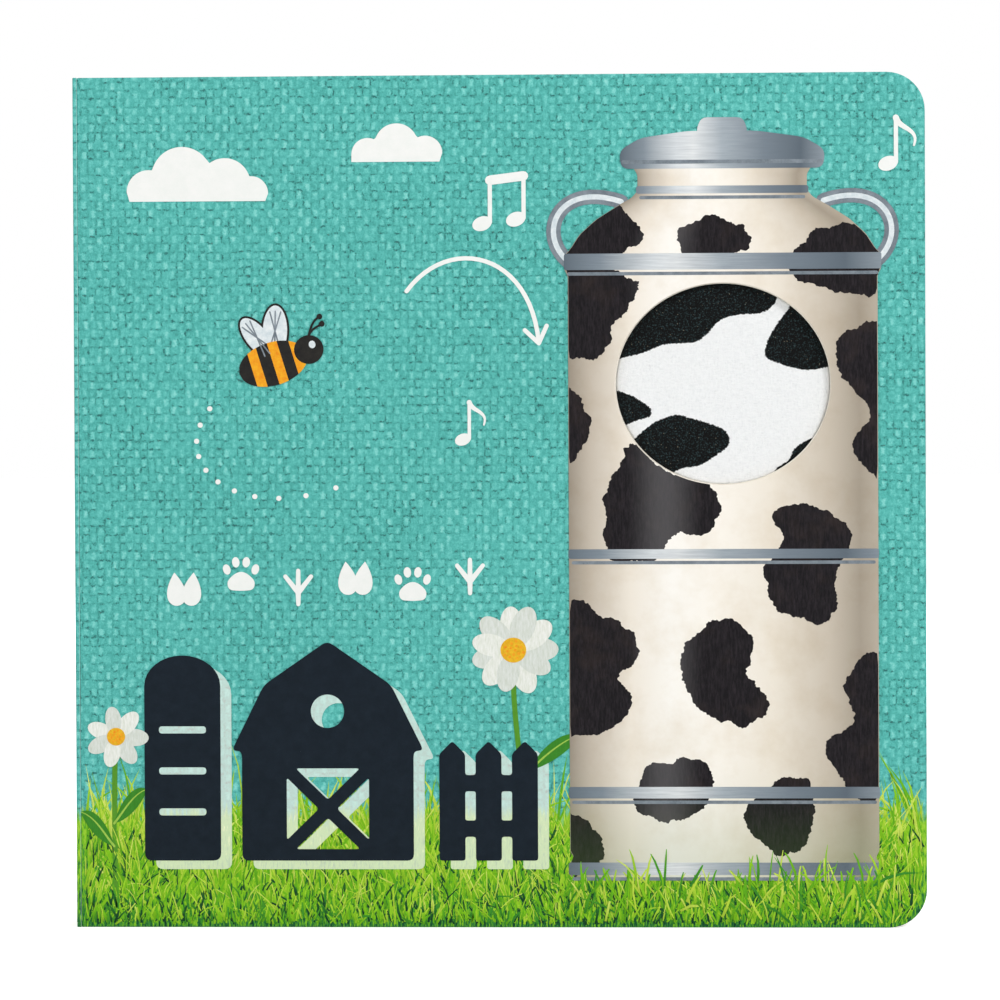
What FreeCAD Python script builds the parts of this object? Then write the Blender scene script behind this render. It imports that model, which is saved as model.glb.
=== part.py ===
import FreeCAD, Part
import os
import Sketcher

# A square sound-and-feel board book. It stands on the foot edge of its boards, spine to the left.
# X runs from the spine to the fore edge, Y from the front cover to the back cover, and Z up the page.
# The origin is at the middle of the foot.

Vector = FreeCAD.Vector
CLOSE = 1e-4
LEAST_CUT = 0.01

doc = FreeCAD.newDocument("board_book")
sheet = doc.addObject("Spreadsheet::Sheet", "sizes")

# Driving dimensions in millimetres, and the counts of leaves and grille holes
SIZES = {
    # Book
    "page_width": 178.0,
    "page_height": 178.0,
    "corner_radius": 8.0,
    "spine_board": 1.0,
    "spine_rounding": 0.4,
    "cover_board": 2.4,
    "crease_depth": 0.35,
    "rest_gap": 0.15,
    # Leaves
    "leaf_count": 5,
    "leaf_board": 2.2,
    "leaf_gap": 0.15,
    "gutter": 2.5,
    # Window in the front cover, and the patch behind it
    "window_height": 41.7,
    "window_stretch": 2.9,
    "window_from_spine": 135.9,
    "window_from_foot": 113.4,
    "felt_margin": 3.0,
    "felt_thickness": 0.8,
    "felt_crown": 0.5,
    "crown_inset": 1.2,
    "crown_softness": 0.4,
    "foam_thickness": 1.1,
    "patch_clearance": 0.3,
    # Back cover
    "liner_board": 1.2,
    "core_board": 5.6,
    "outer_board": 1.2,
    # Sound module
    "module_from_spine": 86.0,
    "module_from_foot": 50.0,
    "module_width": 78.0,
    "module_height": 46.0,
    "module_corner": 4.0,
    "module_wall": 1.2,
    "module_clearance": 0.3,
    "module_floor": 1.8,
    "lid_thickness": 0.8,
    "lid_clearance": 0.1,
    # Speaker
    "speaker_from_wall": 17.8,
    "speaker_radius": 14.0,
    "speaker_rim": 0.8,
    "speaker_shelf": 1.2,
    "speaker_depth": 2.6,
    "speaker_plate": 0.4,
    "basket_step": 1.0,
    "cone_thickness": 0.25,
    "cone_clearance": 0.05,
    "magnet_radius": 6.0,
    "magnet_thickness": 1.1,
    "grille_hole": 1.0,
    "grille_inner_ring": 4.2,
    "grille_outer_ring": 8.4,
    "grille_inner_count": 6,
    "grille_outer_count": 12,
    # Battery bay
    "door_width": 29.0,
    "door_height": 40.0,
    "door_thickness": 1.0,
    "door_clearance": 0.15,
    "door_from_wall": 2.8,
    "door_corner": 2.0,
    "cell_radius": 5.8,
    "cell_thickness": 3.1,
    "cell_pitch": 12.4,
    "cell_from_door_edge": 9.0,
    "cell_clearance": 0.3,
    "cell_rounding": 0.3,
    "contact_width": 6.0,
    "contact_thickness": 0.2,
    # Screw that holds the door
    "screw_from_door_edge": 5.0,
    "screw_radius": 0.9,
    "screw_head_radius": 1.9,
    "screw_head_depth": 0.8,
    "screw_head_edge": 0.1,
    "screw_slot": 0.4,
    "screw_slot_reach": 1.3,
    "screw_reach": 3.0,
    "screw_clearance": 0.1,
    "boss_radius": 2.4,
    "boss_reach": 1.8,
    # Circuit board
    "circuit_from_wall": 1.8,
    "circuit_width": 33.0,
    "circuit_height": 38.0,
    "circuit_thickness": 1.0,
    "post_radius": 1.2,
    "post_inset": 1.9,
    "blob_radius": 3.6,
    "blob_slope": 1.1,
    "blob_rise": 0.9,
    "blob_from_left": 6.0,
    "blob_from_middle": 11.0,
    # Membrane switch and its key
    "film_thickness": 0.3,
    "film_radius": 13.0,
    "film_tail": 8.0,
    "film_overlap": 6.0,
    "film_clearance": 0.4,
    "tail_from_middle": 9.0,
    "key_radius": 6.0,
    "key_clearance": 0.3,
    "key_travel": 0.4,
}

for row, (alias, value) in enumerate(SIZES.items(), start=1):
    sheet.set(f"A{row}", alias)
    sheet.set(f"B{row}", str(value))
    sheet.setAlias(f"B{row}", alias)
doc.recompute()


def size(text):
    """A formula in the words of the sheet, turned into one that the document understands."""
    words = []
    for word in text.replace("(", " ( ").replace(")", " ) ").split():
        words.append(f"sizes.{word}" if word in SIZES else word)
    return "(" + " ".join(words) + ")"


# Places through the thickness, from the front face to the back face
BLOCK_DEPTH = "( leaf_count * leaf_board + ( leaf_count - 1 ) * leaf_gap )"
BACK_DEPTH = "( liner_board + core_board + outer_board )"
BOOK_DEPTH = f"( cover_board + 2 * rest_gap + {BLOCK_DEPTH} + {BACK_DEPTH} )"
FRONT = f"( 0 - {BOOK_DEPTH} / 2 )"
BLOCK = f"( {FRONT} + cover_board + rest_gap )"
LINER = f"( {BLOCK} + {BLOCK_DEPTH} + rest_gap )"
CORE = f"( {LINER} + liner_board )"
OUTER = f"( {CORE} + core_board )"
BACK = f"( {OUTER} + outer_board )"
FOAM = f"( {BLOCK} + felt_thickness )"
LID_BACK = f"( {CORE} + lid_thickness )"
CIRCUIT = f"( {LID_BACK} + film_thickness )"
CIRCUIT_BACK = f"( {CIRCUIT} + circuit_thickness )"
FLOOR = f"( {BACK} - module_floor )"
DOOR = f"( {BACK} - door_thickness )"
DOOR_CONTACT = f"( {DOOR} - contact_thickness )"
CELL = f"( {DOOR_CONTACT} - cell_thickness )"
CELL_CONTACT = f"( {CELL} - contact_thickness )"

# Places across the page
SPINE = "( 0 - page_width / 2 )"
CREASE = f"( {SPINE} + spine_board )"
FORE_EDGE = "( page_width / 2 )"
WINDOW_X = f"( {SPINE} + window_from_spine )"
WINDOW_Z = "window_from_foot"
WINDOW_LONG = "( window_height / 2 + window_stretch / 2 )"
WINDOW_SHORT = "( window_height / 2 )"
MODULE_X = f"( {SPINE} + module_from_spine )"
MODULE_Z = "module_from_foot"

# Places inside the module, measured from its middle
RIGHT_WALL = "( module_width / 2 - module_wall )"
SPEAKER_X = f"( {MODULE_X} - {RIGHT_WALL} + speaker_from_wall )"
CIRCUIT_RIGHT = f"( {RIGHT_WALL} - circuit_from_wall )"
CIRCUIT_LEFT = f"( {CIRCUIT_RIGHT} - circuit_width )"
DOOR_RIGHT = f"( {RIGHT_WALL} - door_from_wall )"
DOOR_MIDDLE = f"( {DOOR_RIGHT} - door_width / 2 )"
CELL_MIDDLE = f"( {DOOR_RIGHT} - cell_from_door_edge )"
SCREW_MIDDLE = f"( {DOOR_RIGHT} - door_width + screw_from_door_edge )"


# Building blocks
def new_body(label):
    body = doc.addObject("PartDesign::Body", label)
    body.Label = label
    return body


def plane_of(body, role):
    return next(part for part in body.Origin.OriginFeatures if part.Role == role)


def place_expression(sketch, axis, text):
    sketch.setExpression(f"AttachmentOffset.Base.{axis}", size(text))


def facing_sketch(body, name, across="0", up="0", depth="0"):
    """A sketch that faces the reader: its own X and Y are the page's X and Z."""
    sketch = body.newObject("Sketcher::SketchObject", name)
    sketch.AttachmentSupport = [(plane_of(body, "XZ_Plane"), "")]
    sketch.MapMode = "FlatFace"
    place_expression(sketch, "x", across)
    place_expression(sketch, "y", up)
    place_expression(sketch, "z", f"( 0 - {depth} )")
    return sketch


def level_sketch(body, name, across="0", up="0"):
    """A sketch that lies level: its own X and Y are the page's X and depth."""
    sketch = body.newObject("Sketcher::SketchObject", name)
    sketch.AttachmentSupport = [(plane_of(body, "XY_Plane"), "")]
    sketch.MapMode = "FlatFace"
    place_expression(sketch, "x", across)
    place_expression(sketch, "z", up)
    return sketch


def draw_polygon(sketch, corners):
    """A closed outline. Each corner is a pair of formulas, and "0" puts it on the axis."""
    guesses = [Vector(evaluate(x), evaluate(y), 0) for x, y in corners]
    first = sketch.GeometryCount
    total = len(corners)
    for n in range(total):
        sketch.addGeometry(Part.LineSegment(guesses[n], guesses[(n + 1) % total]))
    for n in range(total):
        sketch.addConstraint(Sketcher.Constraint("Coincident", first + n, 2, first + (n + 1) % total, 1))
    for n, (x, y) in enumerate(corners):
        bind_place(sketch, first + n, x, "DistanceX", -2, guesses[n].x)
        bind_place(sketch, first + n, y, "DistanceY", -1, guesses[n].y)


def bind_place(sketch, line, text, kind, axis, guess):
    if text == "0":
        sketch.addConstraint(Sketcher.Constraint("PointOnObject", line, 1, axis))
        return
    index = sketch.addConstraint(Sketcher.Constraint(kind, -1, 1, line, 1, guess))
    sketch.setExpression(f"Constraints[{index}]", size(text))


def draw_rectangle(sketch, left, right, low, high):
    draw_polygon(sketch, [(left, low), (right, low), (right, high), (left, high)])


def draw_circle(sketch, radius, across="0", up="0"):
    centre = Vector(evaluate(across), evaluate(up), 0)
    circle = sketch.addGeometry(Part.Circle(centre, Vector(0, 0, 1), evaluate(radius)))
    index = sketch.addConstraint(Sketcher.Constraint("Radius", circle, evaluate(radius)))
    sketch.setExpression(f"Constraints[{index}]", size(radius))
    for text, kind, axis, guess in (
        (across, "DistanceX", -2, centre.x),
        (up, "DistanceY", -1, centre.y),
    ):
        if text == "0":
            sketch.addConstraint(Sketcher.Constraint("PointOnObject", circle, 3, axis))
        else:
            index = sketch.addConstraint(Sketcher.Constraint(kind, -1, 1, circle, 3, guess))
            sketch.setExpression(f"Constraints[{index}]", size(text))


def draw_oval(sketch, half_width, half_height):
    """An ellipse about the sketch's own origin, wider than it is tall."""
    long_half = evaluate(half_width)
    short_half = evaluate(half_height)
    oval = sketch.addGeometry(Part.Ellipse(Vector(0, 0, 0), long_half, short_half))
    sketch.exposeInternalGeometry(oval)
    long_axis = oval + 1
    short_axis = oval + 2
    sketch.addConstraint(Sketcher.Constraint("Coincident", oval, 3, -1, 1))
    sketch.addConstraint(Sketcher.Constraint("Horizontal", long_axis))
    for axis, text, guess in (
        (long_axis, half_width, long_half),
        (short_axis, half_height, short_half),
    ):
        index = sketch.addConstraint(Sketcher.Constraint("Distance", axis, 2 * guess))
        sketch.setExpression(f"Constraints[{index}]", size(f"( 2 * {text} )"))


def evaluate(text):
    """The value of a formula now, used as a sketch's starting guess."""
    return float(sheet.evalExpression(size(text)))


def grow(body, name, sketch, depth, towards_back=True):
    pad = body.newObject("PartDesign::Pad", name)
    pad.Profile = sketch
    pad.Reversed = towards_back
    pad.setExpression("Length", size(depth))
    doc.recompute()
    return pad


def cut(body, name, sketch, depth, towards_back=True):
    before = body.Shape.Volume
    pocket = body.newObject("PartDesign::Pocket", name)
    pocket.Profile = sketch
    pocket.Reversed = not towards_back
    pocket.setExpression("Length", size(depth))
    doc.recompute()
    if body.Shape.Volume > before - LEAST_CUT:
        raise ValueError(f"{name} cuts nothing from {body.Label}")
    return pocket


def turn(body, name, sketch):
    """A solid turned about the upright line through its sketch's origin, which runs front to back."""
    revolution = body.newObject("PartDesign::Revolution", name)
    revolution.Profile = sketch
    revolution.ReferenceAxis = (sketch, ["V_Axis"])
    revolution.Angle = 360
    doc.recompute()
    return revolution


def dress(body, kind, name, text, wanted):
    """Rounds or bevels the edges that a test picks out."""
    base = body.Tip
    picked = [f"Edge{n}" for n, edge in enumerate(base.Shape.Edges, start=1) if wanted(edge)]
    feature = body.newObject(f"PartDesign::{kind}", name)
    feature.Base = (base, picked)
    feature.setExpression("Radius" if kind == "Fillet" else "Size", size(text))
    doc.recompute()
    return feature


def middle(edge):
    return edge.valueAt((edge.FirstParameter + edge.LastParameter) / 2)


def runs_along(edge, axis):
    ends = edge.lastVertex().Point - edge.firstVertex().Point
    sideways = [abs(ends.x), abs(ends.y), abs(ends.z)]
    length = sideways.pop("xyz".index(axis))
    return length > CLOSE and max(sideways) < CLOSE


def repeat_round(body, name, feature, sketch, total):
    pattern = body.newObject("PartDesign::PolarPattern", name)
    pattern.Originals = [feature]
    pattern.Axis = (sketch, ["N_Axis"])
    pattern.Angle = 360
    pattern.setExpression("Occurrences", size(total))
    body.Tip = pattern
    doc.recompute()
    return pattern


def board(label, depth, thickness):
    """A board with the page's outline: square at the spine, rounded at the fore edge."""
    body = new_body(label)
    outline = facing_sketch(body, f"{label}_outline", depth=depth)
    draw_rectangle(outline, CREASE, FORE_EDGE, "0", "page_height")
    grow(body, f"{label}_board", outline, thickness)
    dress(
        body, "Fillet", f"{label}_corners", "corner_radius",
        lambda edge: runs_along(edge, "y") and middle(edge).x > 0,
    )
    return body


def crease(body, label, depth):
    """A shallow bevel where the cover paper folds, along the spine side of a cover."""
    line_x = evaluate(CREASE)
    line_y = evaluate(depth)
    dress(
        body, "Chamfer", f"{label}_crease", "crease_depth",
        lambda edge: runs_along(edge, "z")
        and abs(middle(edge).x - line_x) < CLOSE
        and abs(middle(edge).y - line_y) < CLOSE,
    )


# The book
def front_cover_board():
    body = board("front_cover_board", FRONT, "cover_board")
    crease(body, "front_cover_board", FRONT)
    hole = facing_sketch(body, "cover_window", WINDOW_X, WINDOW_Z, FRONT)
    draw_oval(hole, WINDOW_LONG, WINDOW_SHORT)
    cut(body, "cover_window_cut", hole, "cover_board")
    return body


def page_block():
    """All the leaves, glued into one at the gutter and free on the other three sides."""
    body = board("page_block", BLOCK, BLOCK_DEPTH)
    nest = facing_sketch(body, "patch_nest", WINDOW_X, WINDOW_Z, BLOCK)
    draw_oval(
        nest,
        f"( {WINDOW_LONG} + felt_margin + patch_clearance )",
        f"( {WINDOW_SHORT} + felt_margin + patch_clearance )",
    )
    cut(body, "patch_nest_cut", nest, "( felt_thickness + foam_thickness )")
    slit = level_sketch(body, "leaf_slit")
    near = f"( {BLOCK} + leaf_board )"
    far = f"( {near} + leaf_gap )"
    draw_rectangle(slit, f"( {CREASE} + gutter )", f"( {FORE_EDGE} + gutter )", near, far)
    first = cut(body, "leaf_slit_cut", slit, "page_height", towards_back=False)
    row = body.newObject("PartDesign::LinearPattern", "leaf_slits")
    row.Originals = [first]
    row.Direction = (slit, ["V_Axis"])
    row.setExpression("Length", size("( ( leaf_count - 2 ) * ( leaf_board + leaf_gap ) )"))
    row.setExpression("Occurrences", size("( leaf_count - 1 )"))
    body.Tip = row
    doc.recompute()
    return body


def spine_wrap():
    body = new_body("spine_wrap")
    outline = level_sketch(body, "spine_outline")
    draw_rectangle(outline, SPINE, CREASE, FRONT, BACK)
    grow(body, "spine_strip", outline, "page_height", towards_back=False)
    spine_x = evaluate(SPINE)
    dress(
        body, "Fillet", "spine_edges", "spine_rounding",
        lambda edge: runs_along(edge, "z") and abs(middle(edge).x - spine_x) < CLOSE,
    )
    return body


# The patch to press
def foam_pad():
    body = new_body("foam_pad")
    outline = facing_sketch(body, "foam_outline", WINDOW_X, WINDOW_Z, FOAM)
    draw_oval(outline, f"( {WINDOW_LONG} + felt_margin )", f"( {WINDOW_SHORT} + felt_margin )")
    grow(body, "foam_sheet", outline, "foam_thickness")
    return body


def felt_patch():
    body = new_body("felt_patch")
    outline = facing_sketch(body, "felt_outline", WINDOW_X, WINDOW_Z, BLOCK)
    draw_oval(outline, f"( {WINDOW_LONG} + felt_margin )", f"( {WINDOW_SHORT} + felt_margin )")
    grow(body, "felt_sheet", outline, "felt_thickness")
    swell = facing_sketch(body, "crown_outline", WINDOW_X, WINDOW_Z, BLOCK)
    draw_oval(swell, f"( {WINDOW_LONG} - crown_inset )", f"( {WINDOW_SHORT} - crown_inset )")
    grow(body, "felt_swell", swell, "felt_crown", towards_back=False)
    crown_y = evaluate(f"( {BLOCK} - felt_crown )")
    dress(
        body, "Fillet", "crown_edge", "crown_softness",
        lambda edge: abs(middle(edge).y - crown_y) < CLOSE,
    )
    return body


# The back cover
def back_liner():
    body = board("back_liner", LINER, "liner_board")
    hole = facing_sketch(body, "key_hole", WINDOW_X, WINDOW_Z, LINER)
    draw_circle(hole, "( key_radius + key_clearance )")
    cut(body, "key_hole_cut", hole, "liner_board")
    return body


def module_outline(sketch, grow_by):
    draw_rectangle(
        sketch,
        f"( 0 - module_width / 2 - {grow_by} )", f"( module_width / 2 + {grow_by} )",
        f"( 0 - module_height / 2 - {grow_by} )", f"( module_height / 2 + {grow_by} )",
    )


def near_module(edge):
    """True for an upright edge of a module cut-out: those lie well inside the board's own edges."""
    point = middle(edge)
    reach_x = evaluate("( module_width / 2 + module_clearance )")
    reach_z = evaluate("( module_height / 2 + module_clearance )")
    off_x = abs(abs(point.x - evaluate(MODULE_X)) - reach_x)
    off_z = abs(abs(point.z - evaluate(MODULE_Z)) - reach_z)
    return runs_along(edge, "y") and off_x < CLOSE and off_z < CLOSE


def tail_outline(sketch, grow_by):
    """The film's tail: down from the switch, then across to the circuit board."""
    half = f"( film_tail / 2 + {grow_by} )"
    window_x = f"( {WINDOW_X} - {MODULE_X} )"
    window_z = f"( {WINDOW_Z} - {MODULE_Z} )"
    reach = f"( {CIRCUIT_RIGHT} - film_overlap )"
    draw_polygon(
        sketch,
        [
            (f"( {window_x} - {half} )", window_z),
            (f"( {window_x} - {half} )", f"( tail_from_middle + {half} )"),
            (reach, f"( tail_from_middle + {half} )"),
            (reach, f"( tail_from_middle - {half} )"),
            (f"( {window_x} + {half} )", f"( tail_from_middle - {half} )"),
            (f"( {window_x} + {half} )", window_z),
        ],
    )


def core_frame():
    """The thick middle board of the back cover, cut out for the module and the switch film."""
    body = board("core_frame", CORE, "core_board")
    hole = facing_sketch(body, "core_hole", MODULE_X, MODULE_Z, CORE)
    module_outline(hole, "module_clearance")
    cut(body, "core_hole_cut", hole, "core_board")
    dress(body, "Fillet", "core_hole_corners", "module_corner", near_module)
    channel_depth = "( lid_thickness + film_thickness )"
    bed = facing_sketch(body, "film_bed", WINDOW_X, WINDOW_Z, CORE)
    draw_circle(bed, "( film_radius + film_clearance )")
    cut(body, "film_bed_cut", bed, channel_depth)
    channel = facing_sketch(body, "film_channel", MODULE_X, MODULE_Z, CORE)
    tail_outline(channel, "film_clearance")
    cut(body, "film_channel_cut", channel, channel_depth)
    return body


def back_cover_board():
    body = board("back_cover_board", OUTER, "outer_board")
    crease(body, "back_cover_board", BACK)
    hole = facing_sketch(body, "back_hole", MODULE_X, MODULE_Z, OUTER)
    module_outline(hole, "module_clearance")
    cut(body, "back_hole_cut", hole, "outer_board")
    dress(body, "Fillet", "back_hole_corners", "module_corner", near_module)
    return body


# The sound module
def module_housing():
    body = new_body("module_housing")
    outline = facing_sketch(body, "housing_outline", MODULE_X, MODULE_Z, LID_BACK)
    module_outline(outline, "0")
    grow(body, "housing_block", outline, f"( {BACK} - {LID_BACK} )")
    dress(body, "Fillet", "housing_corners", "module_corner", lambda edge: runs_along(edge, "y"))
    hollow = facing_sketch(body, "housing_hollow", MODULE_X, MODULE_Z, LID_BACK)
    module_outline(hollow, "( 0 - module_wall )")
    cut(body, "housing_hollow_cut", hollow, f"( {FLOOR} - {LID_BACK} )")
    notch = facing_sketch(body, "film_notch", MODULE_X, MODULE_Z, LID_BACK)
    draw_rectangle(
        notch,
        f"( {RIGHT_WALL} - module_wall )", "( module_width / 2 + module_wall )",
        "( tail_from_middle - film_tail / 2 - film_clearance )",
        "( tail_from_middle + film_tail / 2 + film_clearance )",
    )
    cut(body, "film_notch_cut", notch, "film_thickness")
    recess = facing_sketch(body, "door_recess", MODULE_X, MODULE_Z, DOOR)
    door_outline(recess, "door_clearance")
    cut(body, "door_recess_cut", recess, "door_thickness")
    dress(body, "Fillet", "door_recess_corners", "door_corner", in_door_recess)
    bay = facing_sketch(body, "cell_bay", MODULE_X, MODULE_Z, FLOOR)
    draw_rectangle(
        bay,
        f"( {CELL_MIDDLE} - cell_radius - cell_clearance )",
        f"( {CELL_MIDDLE} + cell_radius + cell_clearance )",
        "( 0 - cell_pitch - cell_radius - cell_clearance )",
        "( cell_pitch + cell_radius + cell_clearance )",
    )
    cut(body, "cell_bay_cut", bay, "module_floor")
    for n, (across, up) in enumerate(circuit_corners(), start=1):
        post = facing_sketch(body, f"post_{n}", MODULE_X, MODULE_Z, CIRCUIT_BACK)
        draw_circle(post, "post_radius", across, up)
        grow(body, f"post_{n}_pad", post, f"( {FLOOR} - {CIRCUIT_BACK} )")
    boss = facing_sketch(body, "screw_boss", MODULE_X, MODULE_Z, f"( {FLOOR} - boss_reach )")
    draw_circle(boss, "boss_radius", SCREW_MIDDLE)
    grow(body, "screw_boss_pad", boss, "boss_reach")
    pilot = facing_sketch(body, "screw_pilot", MODULE_X, MODULE_Z, f"( {FLOOR} - boss_reach )")
    draw_circle(pilot, "( screw_radius + screw_clearance )", SCREW_MIDDLE)
    cut(body, "screw_pilot_cut", pilot, "( module_floor + boss_reach )")
    grille_holes(body)
    return body


def in_door_recess(edge):
    """True for the four corner edges of the recess that the battery door lies in."""
    point = middle(edge)
    door_x = evaluate(f"( {MODULE_X} + {DOOR_MIDDLE} )")
    off_x = abs(abs(point.x - door_x) - evaluate("( door_width / 2 + door_clearance )"))
    off_z = abs(abs(point.z - evaluate(MODULE_Z)) - evaluate("( door_height / 2 + door_clearance )"))
    return runs_along(edge, "y") and off_x < CLOSE and off_z < CLOSE


def circuit_corners():
    left = f"( {CIRCUIT_LEFT} + post_inset )"
    right = f"( {CIRCUIT_RIGHT} - post_inset )"
    low = "( post_inset - circuit_height / 2 )"
    high = "( circuit_height / 2 - post_inset )"
    return [(left, low), (right, low), (right, high), (left, high)]


def grille_holes(body):
    """One hole in the middle of the speaker and two rings round it."""
    eye = facing_sketch(body, "grille_eye", SPEAKER_X, MODULE_Z, FLOOR)
    draw_circle(eye, "grille_hole")
    cut(body, "grille_eye_cut", eye, "module_floor")
    for ring in ("inner", "outer"):
        hole = facing_sketch(body, f"grille_{ring}", SPEAKER_X, MODULE_Z, FLOOR)
        draw_circle(hole, "grille_hole", f"grille_{ring}_ring")
        first = cut(body, f"grille_{ring}_cut", hole, "module_floor")
        repeat_round(body, f"grille_{ring}_round", first, hole, f"grille_{ring}_count")


def module_lid():
    body = new_body("module_lid")
    outline = facing_sketch(body, "lid_outline", MODULE_X, MODULE_Z, CORE)
    module_outline(outline, "( 0 - lid_clearance )")
    grow(body, "lid_plate", outline, "lid_thickness")
    dress(body, "Fillet", "lid_corners", "module_corner", lambda edge: runs_along(edge, "y"))
    return body


def circuit_board():
    body = new_body("circuit_board")
    outline = facing_sketch(body, "circuit_outline", MODULE_X, MODULE_Z, CIRCUIT)
    low = "( 0 - circuit_height / 2 )"
    high = "( circuit_height / 2 )"
    draw_rectangle(outline, CIRCUIT_LEFT, CIRCUIT_RIGHT, low, high)
    grow(body, "circuit_plate", outline, "circuit_thickness")
    return body


def chip_blob():
    """A drop of resin over the sound chip, on the back of the circuit board."""
    body = new_body("chip_blob")
    profile = level_sketch(
        body, "blob_profile",
        f"( {MODULE_X} + {CIRCUIT_LEFT} + blob_from_left )",
        f"( {MODULE_Z} + blob_from_middle )",
    )
    shoulder = f"( {CIRCUIT_BACK} + blob_rise / 2 )"
    draw_polygon(
        profile,
        [
            ("0", CIRCUIT_BACK),
            ("blob_radius", CIRCUIT_BACK),
            ("( blob_radius - blob_slope / 2 )", shoulder),
            ("( blob_radius - 2 * blob_slope )", f"( {CIRCUIT_BACK} + blob_rise )"),
            ("0", f"( {CIRCUIT_BACK} + blob_rise )"),
        ],
    )
    turn(body, "blob_drop", profile)
    return body


def speaker_sketch(body, name):
    return level_sketch(body, name, SPEAKER_X, MODULE_Z)


def speaker_frame():
    body = new_body("speaker_frame")
    profile = speaker_sketch(body, "basket_profile")
    shelf = "( speaker_radius - speaker_rim )"
    draw_polygon(
        profile,
        [
            ("speaker_radius", FLOOR),
            ("speaker_radius", f"( {FLOOR} - 2 * speaker_plate )"),
            ("( magnet_radius + basket_step )", f"( {FLOOR} - speaker_depth )"),
            ("0", f"( {FLOOR} - speaker_depth )"),
            ("0", f"( {FLOOR} - speaker_depth + speaker_plate )"),
            ("( magnet_radius + basket_step / 2 )", f"( {FLOOR} - speaker_depth + speaker_plate )"),
            (f"( {shelf} - speaker_shelf )", f"( {FLOOR} - speaker_plate )"),
            (shelf, f"( {FLOOR} - speaker_plate )"),
            (shelf, FLOOR),
        ],
    )
    turn(body, "basket", profile)
    return body


def speaker_cone():
    body = new_body("speaker_cone")
    profile = speaker_sketch(body, "cone_profile")
    seat = "( speaker_radius - speaker_rim - cone_clearance )"
    shelf = "( speaker_radius - speaker_rim - speaker_shelf )"
    seat_y = f"( {FLOOR} - speaker_plate )"
    neck = "( magnet_radius / 2 )"
    neck_y = f"( {FLOOR} - speaker_depth / 2 )"
    draw_polygon(
        profile,
        [
            (seat, seat_y),
            (seat, f"( {seat_y} + cone_thickness )"),
            (shelf, f"( {seat_y} + cone_thickness )"),
            (neck, neck_y),
            ("0", f"( {neck_y} + cone_thickness )"),
            ("0", neck_y),
            (neck, f"( {neck_y} - cone_thickness )"),
            (shelf, seat_y),
        ],
    )
    turn(body, "cone", profile)
    return body


def speaker_magnet():
    body = new_body("speaker_magnet")
    disc = facing_sketch(
        body, "magnet_disc", SPEAKER_X, MODULE_Z,
        f"( {FLOOR} - speaker_depth - magnet_thickness )",
    )
    draw_circle(disc, "magnet_radius")
    grow(body, "magnet_pad", disc, "magnet_thickness")
    return body


def button_cell(number):
    body = new_body(f"button_cell_{number}")
    up = f"( {MODULE_Z} + ( {number} - 2 ) * cell_pitch )"
    disc = facing_sketch(body, f"cell_{number}_disc", f"( {MODULE_X} + {CELL_MIDDLE} )", up, CELL)
    draw_circle(disc, "cell_radius")
    grow(body, f"cell_{number}_pad", disc, "cell_thickness")
    dress(
        body, "Fillet", f"cell_{number}_edge", "cell_rounding",
        lambda edge: not runs_along(edge, "y"),
    )
    return body


def contact_strip(label, depth):
    """A thin sprung strip that joins the three cells."""
    body = new_body(label)
    outline = facing_sketch(body, f"{label}_outline", MODULE_X, MODULE_Z, depth)
    draw_rectangle(
        outline,
        f"( {CELL_MIDDLE} - contact_width / 2 )", f"( {CELL_MIDDLE} + contact_width / 2 )",
        "( 0 - cell_pitch - contact_width / 2 )", "( cell_pitch + contact_width / 2 )",
    )
    grow(body, f"{label}_strip", outline, "contact_thickness")
    return body


def door_outline(sketch, grow_by):
    half_width = f"( door_width / 2 + {grow_by} )"
    half_height = f"( door_height / 2 + {grow_by} )"
    draw_rectangle(
        sketch,
        f"( {DOOR_MIDDLE} - {half_width} )", f"( {DOOR_MIDDLE} + {half_width} )",
        f"( 0 - {half_height} )", half_height,
    )


def battery_door():
    body = new_body("battery_door")
    outline = facing_sketch(body, "door_plate", MODULE_X, MODULE_Z, DOOR)
    door_outline(outline, "0")
    grow(body, "door_pad", outline, "door_thickness")
    dress(body, "Fillet", "door_corners", "door_corner", lambda edge: runs_along(edge, "y"))
    profile = level_sketch(body, "door_screw_hole", f"( {MODULE_X} + {SCREW_MIDDLE} )", MODULE_Z)
    head = "( screw_head_radius + screw_clearance )"
    shank = "( screw_radius + screw_clearance )"
    draw_polygon(
        profile,
        [
            ("0", DOOR),
            (shank, DOOR),
            (shank, f"( {BACK} - screw_head_depth - screw_clearance )"),
            (head, f"( {BACK} - screw_clearance - screw_head_edge )"),
            (head, BACK),
            ("0", BACK),
        ],
    )
    before = body.Shape.Volume
    groove = body.newObject("PartDesign::Groove", "door_screw_hole_cut")
    groove.Profile = profile
    groove.ReferenceAxis = (profile, ["V_Axis"])
    groove.Angle = 360
    doc.recompute()
    if body.Shape.Volume > before - LEAST_CUT:
        raise ValueError("the screw hole cuts nothing from the door")
    return body


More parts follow.
